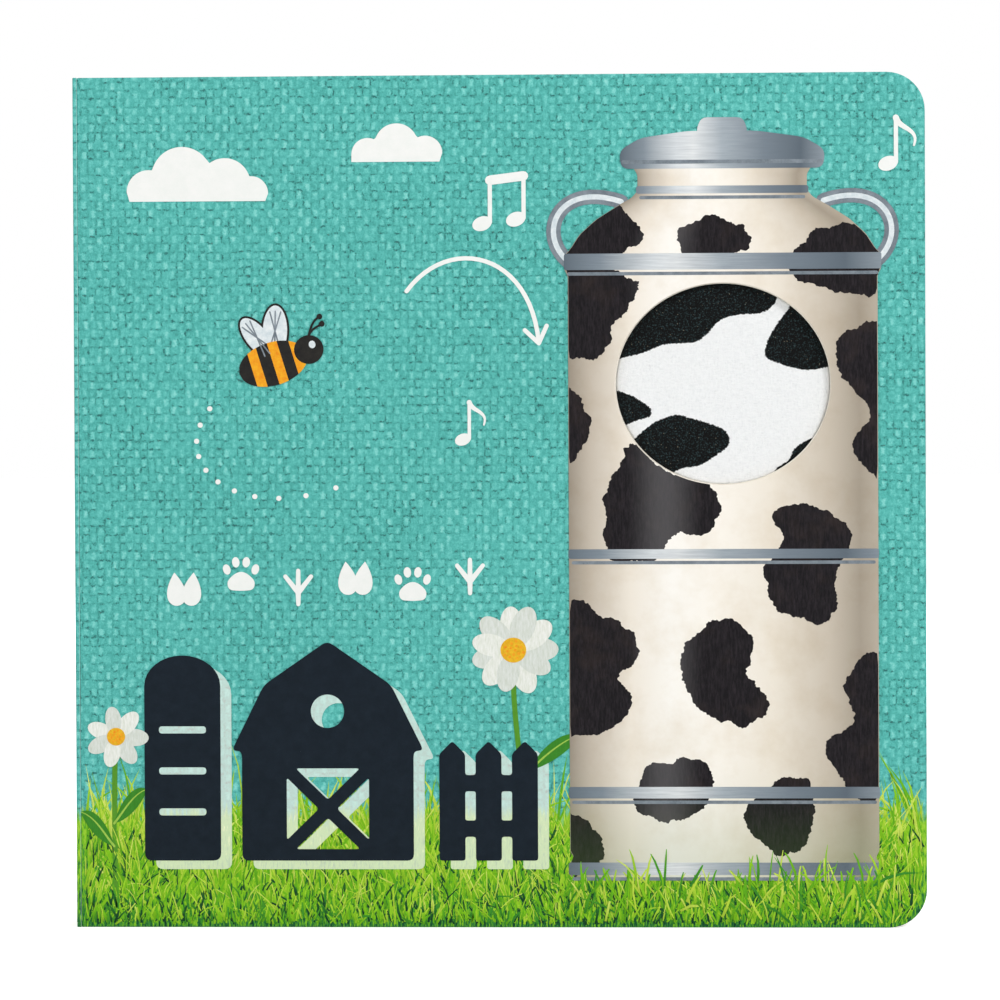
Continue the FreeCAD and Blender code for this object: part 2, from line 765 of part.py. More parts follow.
def door_screw():
    body = new_body("door_screw")
    profile = level_sketch(body, "screw_profile", f"( {MODULE_X} + {SCREW_MIDDLE} )", MODULE_Z)
    top = f"( {BACK} - screw_clearance )"
    draw_polygon(
        profile,
        [
            ("0", f"( {top} - screw_reach )"),
            ("screw_radius", f"( {top} - screw_reach )"),
            ("screw_radius", f"( {top} - screw_head_depth )"),
            ("screw_head_radius", f"( {top} - screw_head_edge )"),
            ("screw_head_radius", top),
            ("0", top),
        ],
    )
    turn(body, "screw_turned", profile)
    for name, long_half, short_half in (
        ("cross_level", "screw_slot_reach", "( screw_slot / 2 )"),
        ("cross_upright", "( screw_slot / 2 )", "screw_slot_reach"),
    ):
        slot = facing_sketch(
            body, name, f"( {MODULE_X} + {SCREW_MIDDLE} )", MODULE_Z,
            f"( {top} - screw_head_depth / 2 )",
        )
        draw_rectangle(slot, f"( 0 - {long_half} )", long_half, f"( 0 - {short_half} )", short_half)
        cut(body, f"{name}_cut", slot, "screw_head_depth")
    return body


# The switch under the patch
def membrane_switch():
    body = new_body("membrane_switch")
    disc = facing_sketch(body, "film_disc", WINDOW_X, WINDOW_Z, LID_BACK)
    draw_circle(disc, "film_radius")
    grow(body, "film_disc_pad", disc, "film_thickness")
    tail = facing_sketch(body, "film_tail_outline", MODULE_X, MODULE_Z, LID_BACK)
    tail_outline(tail, "0")
    grow(body, "film_tail_pad", tail, "film_thickness")
    return body


def switch_key():
    """The round key in the back liner that the patch pushes on through the leaves."""
    body = new_body("switch_key")
    disc = facing_sketch(body, "key_disc", WINDOW_X, WINDOW_Z, LINER)
    draw_circle(disc, "key_radius")
    grow(body, "key_pad", disc, "( liner_board + lid_thickness - key_travel )")
    return body


NODES = [
    front_cover_board(),
    page_block(),
    spine_wrap(),
    foam_pad(),
    felt_patch(),
    back_liner(),
    core_frame(),
    back_cover_board(),
    module_housing(),
    module_lid(),
    circuit_board(),
    chip_blob(),
    speaker_frame(),
    speaker_cone(),
    speaker_magnet(),
    button_cell(1),
    button_cell(2),
    button_cell(3),
    contact_strip("cell_contacts", CELL_CONTACT),
    contact_strip("door_contacts", DOOR_CONTACT),
    battery_door(),
    door_screw(),
    membrane_switch(),
    switch_key(),
]

# Proof before export
doc.recompute()
for thing in doc.Objects:
    if "Invalid" in thing.State or "Error" in thing.State:
        raise ValueError(f"{thing.Label} failed: {thing.State}")
for node in NODES:
    if node.Shape.isNull() or not node.Shape.isValid() or len(node.Shape.Solids) != 1:
        raise ValueError(f"{node.Label} has no single valid solid")

os.makedirs("parts", exist_ok=True)
for node in NODES:
    node.Shape.exportStep(f"parts/{node.Label}.step")
    print(node.Label, round(node.Shape.Volume, 1))
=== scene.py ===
import math
import random

import bpy
from mathutils import Matrix, Vector, kdtree, noise
from mathutils.geometry import tessellate_polygon


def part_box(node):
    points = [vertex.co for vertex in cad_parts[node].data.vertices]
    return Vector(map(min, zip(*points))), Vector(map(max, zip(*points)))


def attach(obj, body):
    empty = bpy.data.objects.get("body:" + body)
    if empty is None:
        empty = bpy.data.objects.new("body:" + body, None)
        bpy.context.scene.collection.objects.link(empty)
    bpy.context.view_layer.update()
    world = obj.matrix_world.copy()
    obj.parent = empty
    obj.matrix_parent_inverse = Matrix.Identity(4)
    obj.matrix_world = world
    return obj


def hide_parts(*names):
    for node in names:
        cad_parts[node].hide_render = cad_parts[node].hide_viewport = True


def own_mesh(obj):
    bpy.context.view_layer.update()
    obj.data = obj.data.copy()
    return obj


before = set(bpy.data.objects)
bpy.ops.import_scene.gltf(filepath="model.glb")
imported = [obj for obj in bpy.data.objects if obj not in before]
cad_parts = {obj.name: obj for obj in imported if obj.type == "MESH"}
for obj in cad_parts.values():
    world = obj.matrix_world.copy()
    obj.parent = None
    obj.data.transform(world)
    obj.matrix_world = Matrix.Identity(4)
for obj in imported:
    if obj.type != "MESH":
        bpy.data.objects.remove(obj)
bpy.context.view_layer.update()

# The book stands on its foot edge: x runs from the spine to the fore edge, the front cover faces -y,
# and z runs up the page. Sizes below are in millimetres, and MM turns them into metres.

MM = 0.001


def span(node):
    """The lowest and highest corners of a CAD piece, in millimetres."""
    low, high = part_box(node)
    return [v / MM for v in low], [v / MM for v in high]


COVER_LOW, COVER_HIGH = span("front_cover_board")
LEAVES_LOW, LEAVES_HIGH = span("page_block")
SPINE_LOW, SPINE_HIGH = span("spine_wrap")
BACK_LOW, BACK_HIGH = span("back_cover_board")
PATCH_LOW, PATCH_HIGH = span("felt_patch")
FOAM_LOW, FOAM_HIGH = span("foam_pad")
MODULE_LOW, MODULE_HIGH = span("module_housing")

# boards and window
CORNER = 8.0                # radius of the two fore-edge corners
SQUARE_CORNER = 0.3         # radius of the two corners beside the spine
CREASE_SHARE = 0.35         # how round the edge beside the spine is, as a share of the other edges
WINDOW_LONG = 22.3          # half of the window's width
WINDOW_SHORT = 20.85        # half of its height
WINDOW_X = (PATCH_LOW[0] + PATCH_HIGH[0]) / 2
WINDOW_Z = (PATCH_LOW[2] + PATCH_HIGH[2]) / 2
CUT_EDGE = 0.22             # width of the pale board that shows round the window
LEAF_COUNT = 5
LEAF_GAP = 0.15
GUTTER = 2.5                # glued strip of the leaves beside the spine
NEST_GROWTH = 0.3           # how much the nest in the first leaf is wider than the felt
NEST_DEPTH = 1.9
PATCH_TRAVEL = 0.8          # how far the patch goes in
MODULE_GAP = 0.3            # round the sound module, in the outer back board
MODULE_CORNER = 4.0

# printed layers: the print lies this deep under the CAD face, and each ink layer stands a step higher
PRINT_DEPTH = 0.28
BACK_PRINT_DEPTH = 0.14
SPINE_PRINT_DEPTH = 0.06
LAYER = 0.028
SUNK = 0.02

# the printed picture
MARGIN = 0.6                # between the blades of grass and the board's edge
CLOTH_ACROSS = 1.56         # pitch of the printed cloth's upright threads
CLOTH_UP = 1.79             # pitch of its level threads
MEADOW_TOP = 25.0           # where the grass starts to thin out
SHADOW_SHIFT = (2.3, -1.8)  # of the pale shape behind each navy one
CHURN_X = WINDOW_X
CHURN_FOOT = 10.0

TEAL_DARK, TEAL_DEEP, TEAL = "316B68", "44978F", "54B3AB"
TEAL_LIGHT, TEAL_PALE = "70C9C1", "8FD8D0"
CREASE_HIGHLIGHT = 0.30          # how pale the painted highlight beside the crease is
PRINT_GLOSS = 0.10          # the laminate reflects little
NAVY, NAVY_LIGHT = "0F1922", "16202A"
WHITE = "F2F2EF"
PLAIN = (1.0, 1.0, 1.0, 1.0)
LEAF_GREENS = ["0F3B28", "3C9030", "68B521", "82C71E", "9BD52B", "C4E246", "E6F27C"]


# outlines in the plane of the page, as lists of (x, z)

def turns(count):
    """The angles of a full turn, in equal steps."""
    return [2 * math.pi * k / count for k in range(count)]


def placed(points, x, z, turn=0.0):
    """A shape drawn about the origin, turned and moved."""
    cosine, sine = math.cos(turn), math.sin(turn)
    return [(x + a * cosine - b * sine, z + a * sine + b * cosine) for a, b in points]


def oval(x, z, long, short, count=96, turn=0.0):
    """An ellipse, turned by an angle in radians."""
    return placed([(long * math.cos(a), short * math.sin(a)) for a in turns(count)], x, z, turn)


def window_oval(long, short, count=96):
    """An ellipse about the window's centre."""
    return oval(WINDOW_X, WINDOW_Z, long, short, count)


def halves(low, high):
    """Half of a piece's width and of its height."""
    return (high[0] - low[0]) / 2, (high[2] - low[2]) / 2


def corner_box(low_x, high_x, low_z, high_z, left, right, inset=0.0, count=10):
    """A rectangle with its corners rounded on the left and on the right, shrunk by inset."""
    points = []
    for x, z, side_x, side_z, radius, start in (
            (high_x, low_z, -1, 1, right, -90), (high_x, high_z, -1, -1, right, 0),
            (low_x, high_z, 1, -1, left, 90), (low_x, low_z, 1, 1, left, 180)):
        reach, back = max(radius - inset, 0.02), max(radius, inset + 0.02)
        angles = [math.radians(start + 90 * k / count) for k in range(count + 1)]
        arc = [(reach * math.cos(a), reach * math.sin(a)) for a in angles]
        points += placed(arc, x + side_x * back, z + side_z * back)
    return points


def page(inset):
    """The outline of a board: square at the spine, where its edge is hardly rounded, and round at the
    fore edge."""
    start = COVER_LOW[0] - inset * (1 - CREASE_SHARE)
    return corner_box(
        start, COVER_HIGH[0], COVER_LOW[2], COVER_HIGH[2], SQUARE_CORNER, CORNER, inset)


def on_page(x, z):
    """Whether a point lies inside the board's outline, clear of its edge."""
    middle, half = (COVER_LOW[2] + COVER_HIGH[2]) / 2, (COVER_HIGH[2] - COVER_LOW[2]) / 2
    past_x = max(0.0, x - COVER_HIGH[0] + CORNER)
    past_z = max(0.0, abs(z - middle) - half + CORNER)
    return x > COVER_LOW[0] + MARGIN and math.hypot(past_x, past_z) < CORNER - MARGIN


def curve(controls, count=24):
    """Points along a Bezier curve."""
    points = []
    for k in range(count + 1):
        left = [Vector(control) for control in controls]
        while len(left) > 1:
            left = [a.lerp(b, k / count) for a, b in zip(left, left[1:])]
        points.append(tuple(left[0]))
    return points


def rounded(points, radius, count=4):
    """A polygon whose corners are softened by the given length."""
    softened = []
    for k, corner in enumerate(points):
        ends = []
        for other in (points[k - 1], points[(k + 1) % len(points)]):
            arm = Vector(other) - Vector(corner)
            ends.append(Vector(corner) + arm.normalized() * min(radius, arm.length / 2.1))
        softened += curve((ends[0], corner, ends[1]), count)
    return softened


def mirrored(x, right):
    """A whole outline from its right half, given upwards as (offset from x, height)."""
    return [(x + a, b) for a, b in right] + [(x - a, b) for a, b in right[::-1] if a]


def bar(x, half, low, high, radius=0.5):
    """A rectangle with softened corners, between two heights."""
    return rounded(mirrored(x, [(half, low), (half, high)]), radius)


def flowing(points, count=12):
    """A smooth closed outline through the given points."""
    loop = []
    total = len(points)
    for k in range(total):
        before, start, end, after = (Vector(points[(k + shift) % total]) for shift in (-1, 0, 1, 2))
        for step in range(count):
            t = step / count
            bow = (2 * before - 5 * start + 4 * end - after) * t * t
            turn = (3 * start - before - 3 * end + after) * t ** 3
            loop.append(tuple((2 * start + (end - before) * t + bow + turn) / 2))
    return loop


def cap_end(start, end, count=5):
    """The points of the half circle from start round to end, without the two."""
    middle = (Vector(start) + Vector(end)) / 2
    arm = Vector(start) - middle
    return [tuple(middle + Matrix.Rotation(math.pi * k / count, 2) @ arm) for k in range(1, count)]


def stroke(points, width, taper=1.0):
    """The outline of a line with round ends that narrows to taper times its width."""
    left, right = [], []
    last = len(points) - 1
    for k, point in enumerate(points):
        ahead = Vector(points[min(k + 1, last)]) - Vector(points[max(k - 1, 0)])
        side = Vector((-ahead.y, ahead.x)).normalized() * width / 2 * (1 + (taper - 1) * k / last)
        left.append(tuple(Vector(point) + side))
        right.append(tuple(Vector(point) - side))
    return right + cap_end(right[-1], left[-1]) + left[::-1] + cap_end(left[0], right[0])


def area(loop):
    """The signed area of an outline, positive if it runs anticlockwise."""
    return sum(x0 * z1 - x1 * z0 for (x0, z0), (x1, z1) in zip(loop, loop[1:] + loop[:1])) / 2


def wound(loop, hole=False):
    """The outline anticlockwise, or clockwise if it is a hole."""
    return loop[::-1] if (area(loop) < 0) != hole else loop


def hexed(code):
    """The linear colour of a six-digit web colour."""
    parts = [int(code[k:k + 2], 16) / 255 for k in (0, 2, 4)]
    linear = [v / 12.92 if v <= 0.04045 else ((v + 0.055) / 1.055) ** 2.4 for v in parts]
    return linear + [1.0]


def between(first, second, share):
    """A linear colour between two."""
    return [a + (b - a) * share for a, b in zip(first, second)]


def add_object(name, data):
    """A new object in the scene."""
    made = bpy.data.objects.new(name, data)
    bpy.context.scene.collection.objects.link(made)
    return made


class Build:
    """Collects the points and faces of one piece, in millimetres. Its outlines lie in one plane: the
    page's, whose front faces -y, the level one, whose front faces up, or the spine's, facing -x."""

    def __init__(self, plane="page"):
        self.plane = plane
        self.points, self.flat, self.paints = [], [], []
        self.faces, self.kinds = [], []

    def ring(self, loop, depth, paint=PLAIN):
        start = len(self.points)
        for a, b in loop:
            place = {"page": (a, depth, b), "level": (a, b, depth), "spine": (depth, -a, b)}
            self.points.append(place[self.plane])
            self.flat.append(Vector((a, b, 0.0)))
            self.paints.append(paint)
        return list(range(start, len(self.points)))

    def face(self, corners, kind):
        self.faces.append(corners)
        self.kinds.append(kind)

    def wall(self, front, back, kind):
        for k in range(len(front)):
            after = (k + 1) % len(front)
            self.face((front[k], back[k], back[after], front[after]), kind)

    def fan(self, tip, ring, kind):
        for k in range(len(ring)):
            self.face((tip, ring[k], ring[(k + 1) % len(ring)]), kind)

    def cap(self, rings, kind, front=True):
        index = [k for ring in rings for k in ring]
        for corners in tessellate_polygon([[self.flat[k] for k in ring] for ring in rings]):
            corners = tuple(index[k] for k in corners)
            start, first, second = (self.flat[k] for k in corners)
            turned = (first - start).cross(second - start).z
            if abs(turned) > 1e-12:
                self.face(corners if (turned > 0) == front else corners[::-1], kind)

    def slab(self, outer, holes, front_kind):
        """A board without its back. outer and each hole are an outline as a function of an inset, and
        a profile from front to back as (depth, inset, kind of the wall that follows)."""
        fronts, backs = [], []
        for number, (outline, profile) in enumerate([outer] + holes):
            rings = [self.ring(wound(outline(inset), number > 0), depth) for depth, inset, _ in profile]
            for k, (_, _, kind) in enumerate(profile[:-1]):
                self.wall(rings[k], rings[k + 1], kind)
            fronts.append(rings[0])
            backs.append(rings[-1])
        self.cap(fronts, front_kind)
        return backs

    def plate(self, loops, front, back, kind, paint=PLAIN):
        """A flat shape between two depths. The holes follow the outline."""
        fronts, backs = [], []
        for number, loop in enumerate(loops):
            loop = wound(loop, number > 0)
            fronts.append(self.ring(loop, front, paint))
            backs.append(self.ring(loop, back, paint))
            self.wall(fronts[-1], backs[-1], kind)
        self.cap(fronts, kind)
        self.cap(backs, kind, front=False)

    def piece(self, name, body, slot, materials, smooth=0.0):
        """The finished object, riding on its body."""
        mesh = bpy.data.meshes.new(name)
        mesh.from_pydata([[v * MM for v in p] for p in self.points], [], self.faces)
        for material in materials:
            mesh.materials.append(material)
        mesh.polygons.foreach_set("material_index", self.kinds)
        paint = mesh.color_attributes.new("paint", "FLOAT_COLOR", "POINT")
        paint.data.foreach_set("color", [v for colour in self.paints for v in colour])
        if smooth:
            mesh.shade_smooth()
            mesh.set_sharp_from_angle(angle=math.radians(smooth))
        mesh.update()
        made = add_object(name, mesh)
        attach(made, body)
        return made


# materials

class Number:
    """The value of a socket, to reckon with: each operation adds a node to its tree."""

    def __init__(self, tree, socket):
        self.tree, self.socket = tree, socket

    def __add__(self, other):
        return self.tree.math("ADD", self, other)

    def __sub__(self, other):
        return self.tree.math("SUBTRACT", self, other)

    def __rsub__(self, other):
        return self.tree.math("SUBTRACT", other, self)

    def __mul__(self, other):
        return self.tree.math("MULTIPLY", self, other)

    def __truediv__(self, other):
        return self.tree.math("DIVIDE", self, other)

    def __abs__(self):
        return self.tree.math("ABSOLUTE", self)


class Tree:
    """A node tree. Most of its methods add a node and give its output."""

    def __init__(self, tree):
        self.nodes, self.links = tree.nodes, tree.links

    def node(self, kind, inputs=None, **settings):
        made = self.nodes.new(kind)
        for key, value in settings.items():
            setattr(made, key, value)
        for key, value in (inputs or {}).items():
            self.give(made.inputs[key], value)
        return made

    def out(self, kind, inputs=None, output=0, **settings):
        return Number(self, self.node(kind, inputs, **settings).outputs[output])

    def give(self, socket, value):
        if isinstance(value, Number):
            self.links.new(value.socket, socket)
        else:
            socket.default_value = hexed(value) if isinstance(value, str) else value

    def math(self, operation, *values):
        return self.out("ShaderNodeMath", dict(enumerate(values)), operation=operation)

    def seen(self):
        """1 for what the camera sees, straight or in a gloss, and 0 for the light that reaches things."""
        path = [self.out("ShaderNodeLightPath", output=f"Is {kind} Ray")
                for kind in ("Camera", "Glossy", "Transmission")]
        return self.math("MAXIMUM", self.math("MAXIMUM", path[0], path[1]), path[2])


class Graph(Tree):
    """A material's nodes, with the place on the object in millimetres."""

    def __init__(self, name, roughness=0.5, specular=0.5):
        self.material = bpy.data.materials.new(name)
        self.material.use_nodes = True
        super().__init__(self.material.node_tree)
        self.set(Roughness=roughness, Specular_IOR_Level=specular)
        where = self.out("ShaderNodeTexCoord", output="Object")
        self.place = self.vector("SCALE", where, Scale=1 / MM)
        self.x, self.y, self.z = self.split(self.place)

    def set(self, **values):
        """Give the shader's own sockets a colour, a number or a node's output."""
        for key, value in values.items():
            self.give(self.nodes["Principled BSDF"].inputs[key.replace("_", " ")], value)

    def vector(self, operation, *values, output=0, **named):
        inputs = dict(enumerate(values)) | named
        return self.out("ShaderNodeVectorMath", inputs, output, operation=operation)

    def split(self, vector):
        parts = self.node("ShaderNodeSeparateXYZ", {0: vector}).outputs
        return [Number(self, part) for part in parts]

    def join(self, x, y, z):
        return self.out("ShaderNodeCombineXYZ", {0: x, 1: y, 2: z})

    def noise(self, scale, detail=2.0, rough=0.5, stretch=None, where=None, output="Fac"):
        where = where or self.place
        if stretch:
            where = self.vector("MULTIPLY", where, stretch)
        inputs = {"Vector": where, "Scale": scale, "Detail": detail, "Roughness": rough}
        return self.out("ShaderNodeTexNoise", inputs, output)

    def dots(self, x, y, z):
        return self.out("ShaderNodeTexWhiteNoise", {"Vector": self.join(x, y, z)}, "Value")

    def range(self, value, low, high, kind="LINEAR"):
        """From 0 at low to 1 at high."""
        inputs = {"Value": value, "From Min": low, "From Max": high}
        return self.out("ShaderNodeMapRange", inputs, interpolation_type=kind)

    def fade(self, value, low, high):
        """From 0 at low to 1 at high, with soft ends."""
        return self.range(value, low, high, "SMOOTHSTEP")

    def ramp(self, value, stops):
        made = self.node("ShaderNodeValToRGB", {"Fac": value})
        elements = made.color_ramp.elements
        while len(elements) < len(stops):
            elements.new(0.5)
        for element, (position, colour) in zip(elements, stops):
            element.position, element.color = position, hexed(colour)
        return Number(self, made.outputs["Color"])

    def mix(self, share, first, second, kind="MIX"):
        inputs = {0: share, 6: first, 7: second}
        return self.out("ShaderNodeMix", inputs, 2, data_type="RGBA", blend_type=kind)

    def paint(self, output):
        """What the mesh stores point by point."""
        return self.out("ShaderNodeAttribute", output=output, attribute_name="paint")

    def bump(self, height, distance, strength):
        inputs = {"Height": height, "Distance": distance * MM, "Strength": strength}
        self.set(Normal=self.out("ShaderNodeBump", inputs))


def cloth_print(g):
    """The photographed cloth on the boards: a plain weave with pale upright floats, and short dark
    gaps between some of its threads."""
    half = (0.5, 0.5, 0.5)
    wander = g.vector("SUBTRACT", g.noise(0.12, 2.0, output="Color"), half)
    jitter = g.vector("SUBTRACT", g.noise(1.1, 3.0, 0.95, output="Color"), half)
    moved = g.vector("MULTIPLY_ADD", wander, (1.3, 1.3, 1.3), g.place)
    moved = g.vector("MULTIPLY_ADD", jitter, (1.3, 1.3, 1.5), moved)
    across, _, up = g.split(moved)
    across, up = across / CLOTH_ACROSS, up / CLOTH_UP
    column, row = g.math("FLOOR", across), g.math("FLOOR", up)
    u = across - column - 0.5
    side, end = abs(u), abs(up - row - 0.5)
    level = g.math("FRACT", (column + row) * 0.5) * 2.0
    upright = 1.0 - level
    cell, other = g.dots(column, row, 7.0), g.dots(column, row, 19.0)
    seam = g.dots(column, g.math("ROUND", up), 31.0)
    crack = g.dots(g.math("ROUND", across), row, 43.0)
    lean = abs(other * 0.2 + (u - 0.1))
    pale = g.fade(lean, 0.48, 0.05) * g.fade(end, 0.62, 0.24) * upright * (cell * 0.65 + 0.35)
    laid = g.fade(end, 0.5, 0.05) * level * cell
    broken = g.range(g.noise(1.3, 2.0, 0.6), 0.34, 0.58)
    gap = g.fade(end, 0.28, 0.5) * g.fade(side, 0.56, 0.16) * (level * 0.5 + 0.5)
    gap = gap * g.range(seam, 0.2, 1.0) * broken
    notch = g.fade(side, 0.28, 0.5) * g.fade(end, 0.55, 0.15) * g.range(crack, 0.3, 1.0) * broken
    light = pale * 0.42 + laid * 0.10 - gap * 0.95 - notch * 0.60 + 0.425
    for share, *grain in (
            (0.55, 3.4, 2.0, 0.7), (0.70, 1.3, 3.0, 0.75), (0.85, 2.2, 3.0, 0.7, (1.0, 1.0, 0.3), moved),
            (0.55, 2.2, 3.0, 0.7, (0.3, 1.0, 1.0), moved), (0.16, 0.06, 3.0, 0.6)):
        light = (g.noise(*grain) - 0.5) * share + light
    cloth = g.ramp(light, [
        (0.0, TEAL_DARK), (0.2, TEAL_DEEP), (0.45, TEAL), (0.72, TEAL_LIGHT), (1.0, TEAL_PALE)])
    dust = g.range(g.noise(1.9, 1.0), 0.66, 0.72) * gap * 0.8
    return g.mix(dust, cloth, "6B5F52")


BED_GREENS = [(0.0, "0F3A26"), (0.2, "1F6538"), (0.36, "459330"), (0.55, "7DBE22"), (1.0, "B4D946")]
PALE_GREENS = [(0.0, "3F7F30"), (0.3, "7DB53A"), (0.55, "A9CF4A"), (0.75, "8CC63A"), (1.0, "E0EA86")]


def meadow_print(g, greens=BED_GREENS):
    """The ground of the picture: the printed cloth with the grass bed below it."""
    ragged = g.noise(0.35, 3.0, 0.6, where=g.join(g.x, 0.0, 0.0))
    fine = g.noise(1.6, 2.0, 0.6, where=g.join(g.x, 0.0, g.z * 0.1))
    edge = ragged * 7.0 + fine * 9.0 + (MEADOW_TOP - 7.0)
    blades = g.noise(2.3, 4.0, 0.65, (1.0, 0.2, 0.18))
    tone = g.range(blades, 0.32, 0.72) + (g.z * 0.016 - 0.16)
    return g.mix(g.fade(g.z, edge, edge - 4.0), cloth_print(g), g.ramp(tone, greens))


def satin(g):
    """The material, with the fine texture of laminated paper."""
    grain = g.noise(3.5, 3.0, 0.6)
    g.set(Roughness=grain * 0.16 + 0.46, Specular_IOR_Level=PRINT_GLOSS)
    g.bump(grain, 0.012, 0.5)
    return g.material


def board_print(name, spine=False):
    """The printed cloth and grass. On the spine it runs on round the edge, with a painted highlight along
    its crease.
    """
    g = Graph(name)
    if spine:
        # a pale line along the crease: a painted highlight
        crease_highlight = g.range(g.x, SPINE_HIGH[0] - 0.2, SPINE_HIGH[0] - 0.06) * CREASE_HIGHLIGHT
        g.x = g.x - g.y
        g.place = g.join(g.x, 0.0, g.z)
    ground = meadow_print(g)
    g.set(Base_Color=g.mix(crease_highlight, ground, "D6F2EE") if spine else ground)
    return satin(g)


def pale_print(name):
    """The pale shape behind a navy one: white that lets a little of the ground through."""
    g = Graph(name)
    g.set(Base_Color=g.mix(0.54, meadow_print(g, PALE_GREENS), "F6F8F0"))
    return satin(g)


def ink(name, colour, second, scale=0.5):
    """A printed colour with the slight unevenness of ink."""
    g = Graph(name)
    tone = (g.noise(4.0, 2.0, 0.6) - 0.5) * 0.5 + g.range(g.noise(scale, 4.0, 0.62), 0.3, 0.7)
    g.set(Base_Color=g.mix(tone, colour, second))
    return satin(g)


def painted_ink(name):
    """Ink whose colour is stored in the mesh, with fine streaks along it."""
    g = Graph(name)
    shade = g.range(g.noise(3.2, 3.0, 0.6, (1.0, 1.0, 0.22)), 0.25, 0.75)
    dark = g.mix(1.0, g.paint("Color"), "B9C4A8", "MULTIPLY")
    g.set(Base_Color=g.mix(shade * 0.5, g.paint("Color"), dark))
    return satin(g)


def board_edge(name, pale="F6F1E6", dark="DDD4C4"):
    """The cut edge of paper board, with its plies."""
    g = Graph(name, 0.85, 0.25)
    plies = g.noise(2.0, 3.0, 0.6, (0.12, 3.2, 0.12))
    fibres = g.noise(5.0, 3.0, 0.7)
    g.set(Base_Color=g.mix((fibres - 0.5) * 0.6 + g.range(plies, 0.35, 0.68), pale, dark))
    g.bump(plies + fibres * 0.5, 0.05, 0.6)
    return g.material


def hill_print(name):
    """The plain picture inside the book, a pale sky with spots over two hills, with bare cut edges."""
    g = Graph(name)

    def hill(top, pitch, shift, swing):
        return g.range(g.z - g.math("SINE", g.x * pitch + shift) * swing, top, top - 0.6)

    grid = g.vector("FRACTION", g.vector("SCALE", g.join(g.x, 0.0, g.z), Scale=1 / 13.0))
    spot = g.vector("DISTANCE", grid, (0.5, 0.0, 0.5), output="Value")
    grain = g.noise(0.9, 4.0, 0.6)
    sky = g.mix(g.range(spot, 0.15, 0.13), "CFE7E6", "F4FAF7")
    picture = g.mix(hill(68.0, 0.045, 0.8, 11.0), sky, g.mix(grain, "A6CC72", "B9D88C"))
    picture = g.mix(hill(38.0, 0.083, 2.6, 7.0), picture, g.mix(grain, "7DB544", "93C25C"))
    facing = g.split(g.out("ShaderNodeTexCoord", output="Normal"))[1]
    edge = g.mix(grain, "F3EEE3", "DDD5C6")
    g.set(Base_Color=g.mix(g.range(abs(facing), 0.6, 0.4), picture, edge))
    return satin(g)


def edge_reach(loops):
    """A function that gives a point's distance in millimetres from the nearest of some outlines, below
    nothing inside them."""
    tree = kdtree.KDTree(sum(len(loop) for loop in loops))
    outward = []
    for loop in map(wound, loops):
        for k, (x, z) in enumerate(loop):
            ahead = Vector(loop[(k + 1) % len(loop)]) - Vector(loop[k - 1])
            tree.insert((x, z, 0.0), len(outward))
            outward.append(Vector((ahead.y, -ahead.x, 0.0)))
    tree.balance()

    def reach(x, z):
        nearest, index, distance = tree.find((x, z, 0.0))
        outside = (Vector((x, z, 0.0)) - nearest).dot(outward[index]) > 0
        return distance if outside else -distance

    return reach


# the felt's dark patches, from the window's centre
FELT_PATCHES = [
    [(-25, 5), (-20.5, 5.6), (-16.5, 6.6), (-12, 8.2), (-6, 8.7), (-3.4, 10.3), (-0.6, 13.2), (3, 14.3),
     (8, 14.7), (10.4, 16.2), (11.6, 18.6), (14, 26), (-8, 30), (-28, 20)],
    [(17, 20), (13.4, 15.2), (11, 12), (9.3, 8.8), (8.9, 5.6), (12, 4.1), (17, 2.8), (22.5, 3.6), (28, 6),
     (26, 16)],
    [(-28, -1), (-22, -1.4), (-18, -3), (-15.3, -4.9), (-15.2, -6.6), (-18, -7.6), (-21, -8.6), (-28, -9)],
    [(-22, -16), (-18.4, -11.4), (-14.6, -8.2), (-10, -6.5), (-6.6, -7.2), (-2.6, -8.4), (0.6, -10),
     (1.2, -12.6), (-1.4, -14.9), (-5, -17), (-9.6, -18), (-14, -21)],
    [(23, -11), (18.2, -11.6), (15, -13.4), (13.6, -16), (10.6, -18.6), (12, -25), (24, -20)],
]
FELT_EDGE = 8.0             # the paint's 0 to 1 spans this many millimetres across a patch's edge


def felt_material():
    """White felt with dark patches, whose edges are stored in the mesh's paint and softened by fuzz."""
    g = Graph("felt_two_tone", 0.95, 0.15)
    fuzz = g.noise(2.4, 3.0, 0.7) - 0.5
    dark = g.range(fuzz * (0.9 / FELT_EDGE) + g.split(g.paint("Vector"))[0], 0.508, 0.492)
    level = g.range(g.noise(1.0, 4.0, 0.75, (2.6, 1.0, 0.8)), 0.35, 0.65)
    strands = level * g.range(g.noise(1.0, 4.0, 0.75, (0.8, 1.0, 2.4)), 0.35, 0.68)
    white = g.mix(strands * 0.42, "F5F6F6", "C9CCCF")
    black = g.mix(g.range(g.noise(2.9, 2.0, 0.8), 0.53, 0.74), "030404", "35494C")
    dust = g.range(g.noise(2.1, 1.0), 0.70, 0.76) * 0.6
    g.set(Base_Color=g.mix(dark, white, g.mix(dust, black, "9A927E")))
    g.set(Sheen_Weight=0.05, Sheen_Roughness=0.6)
    g.bump(fuzz + strands * 0.8, 0.14, 0.8)
    return g.material


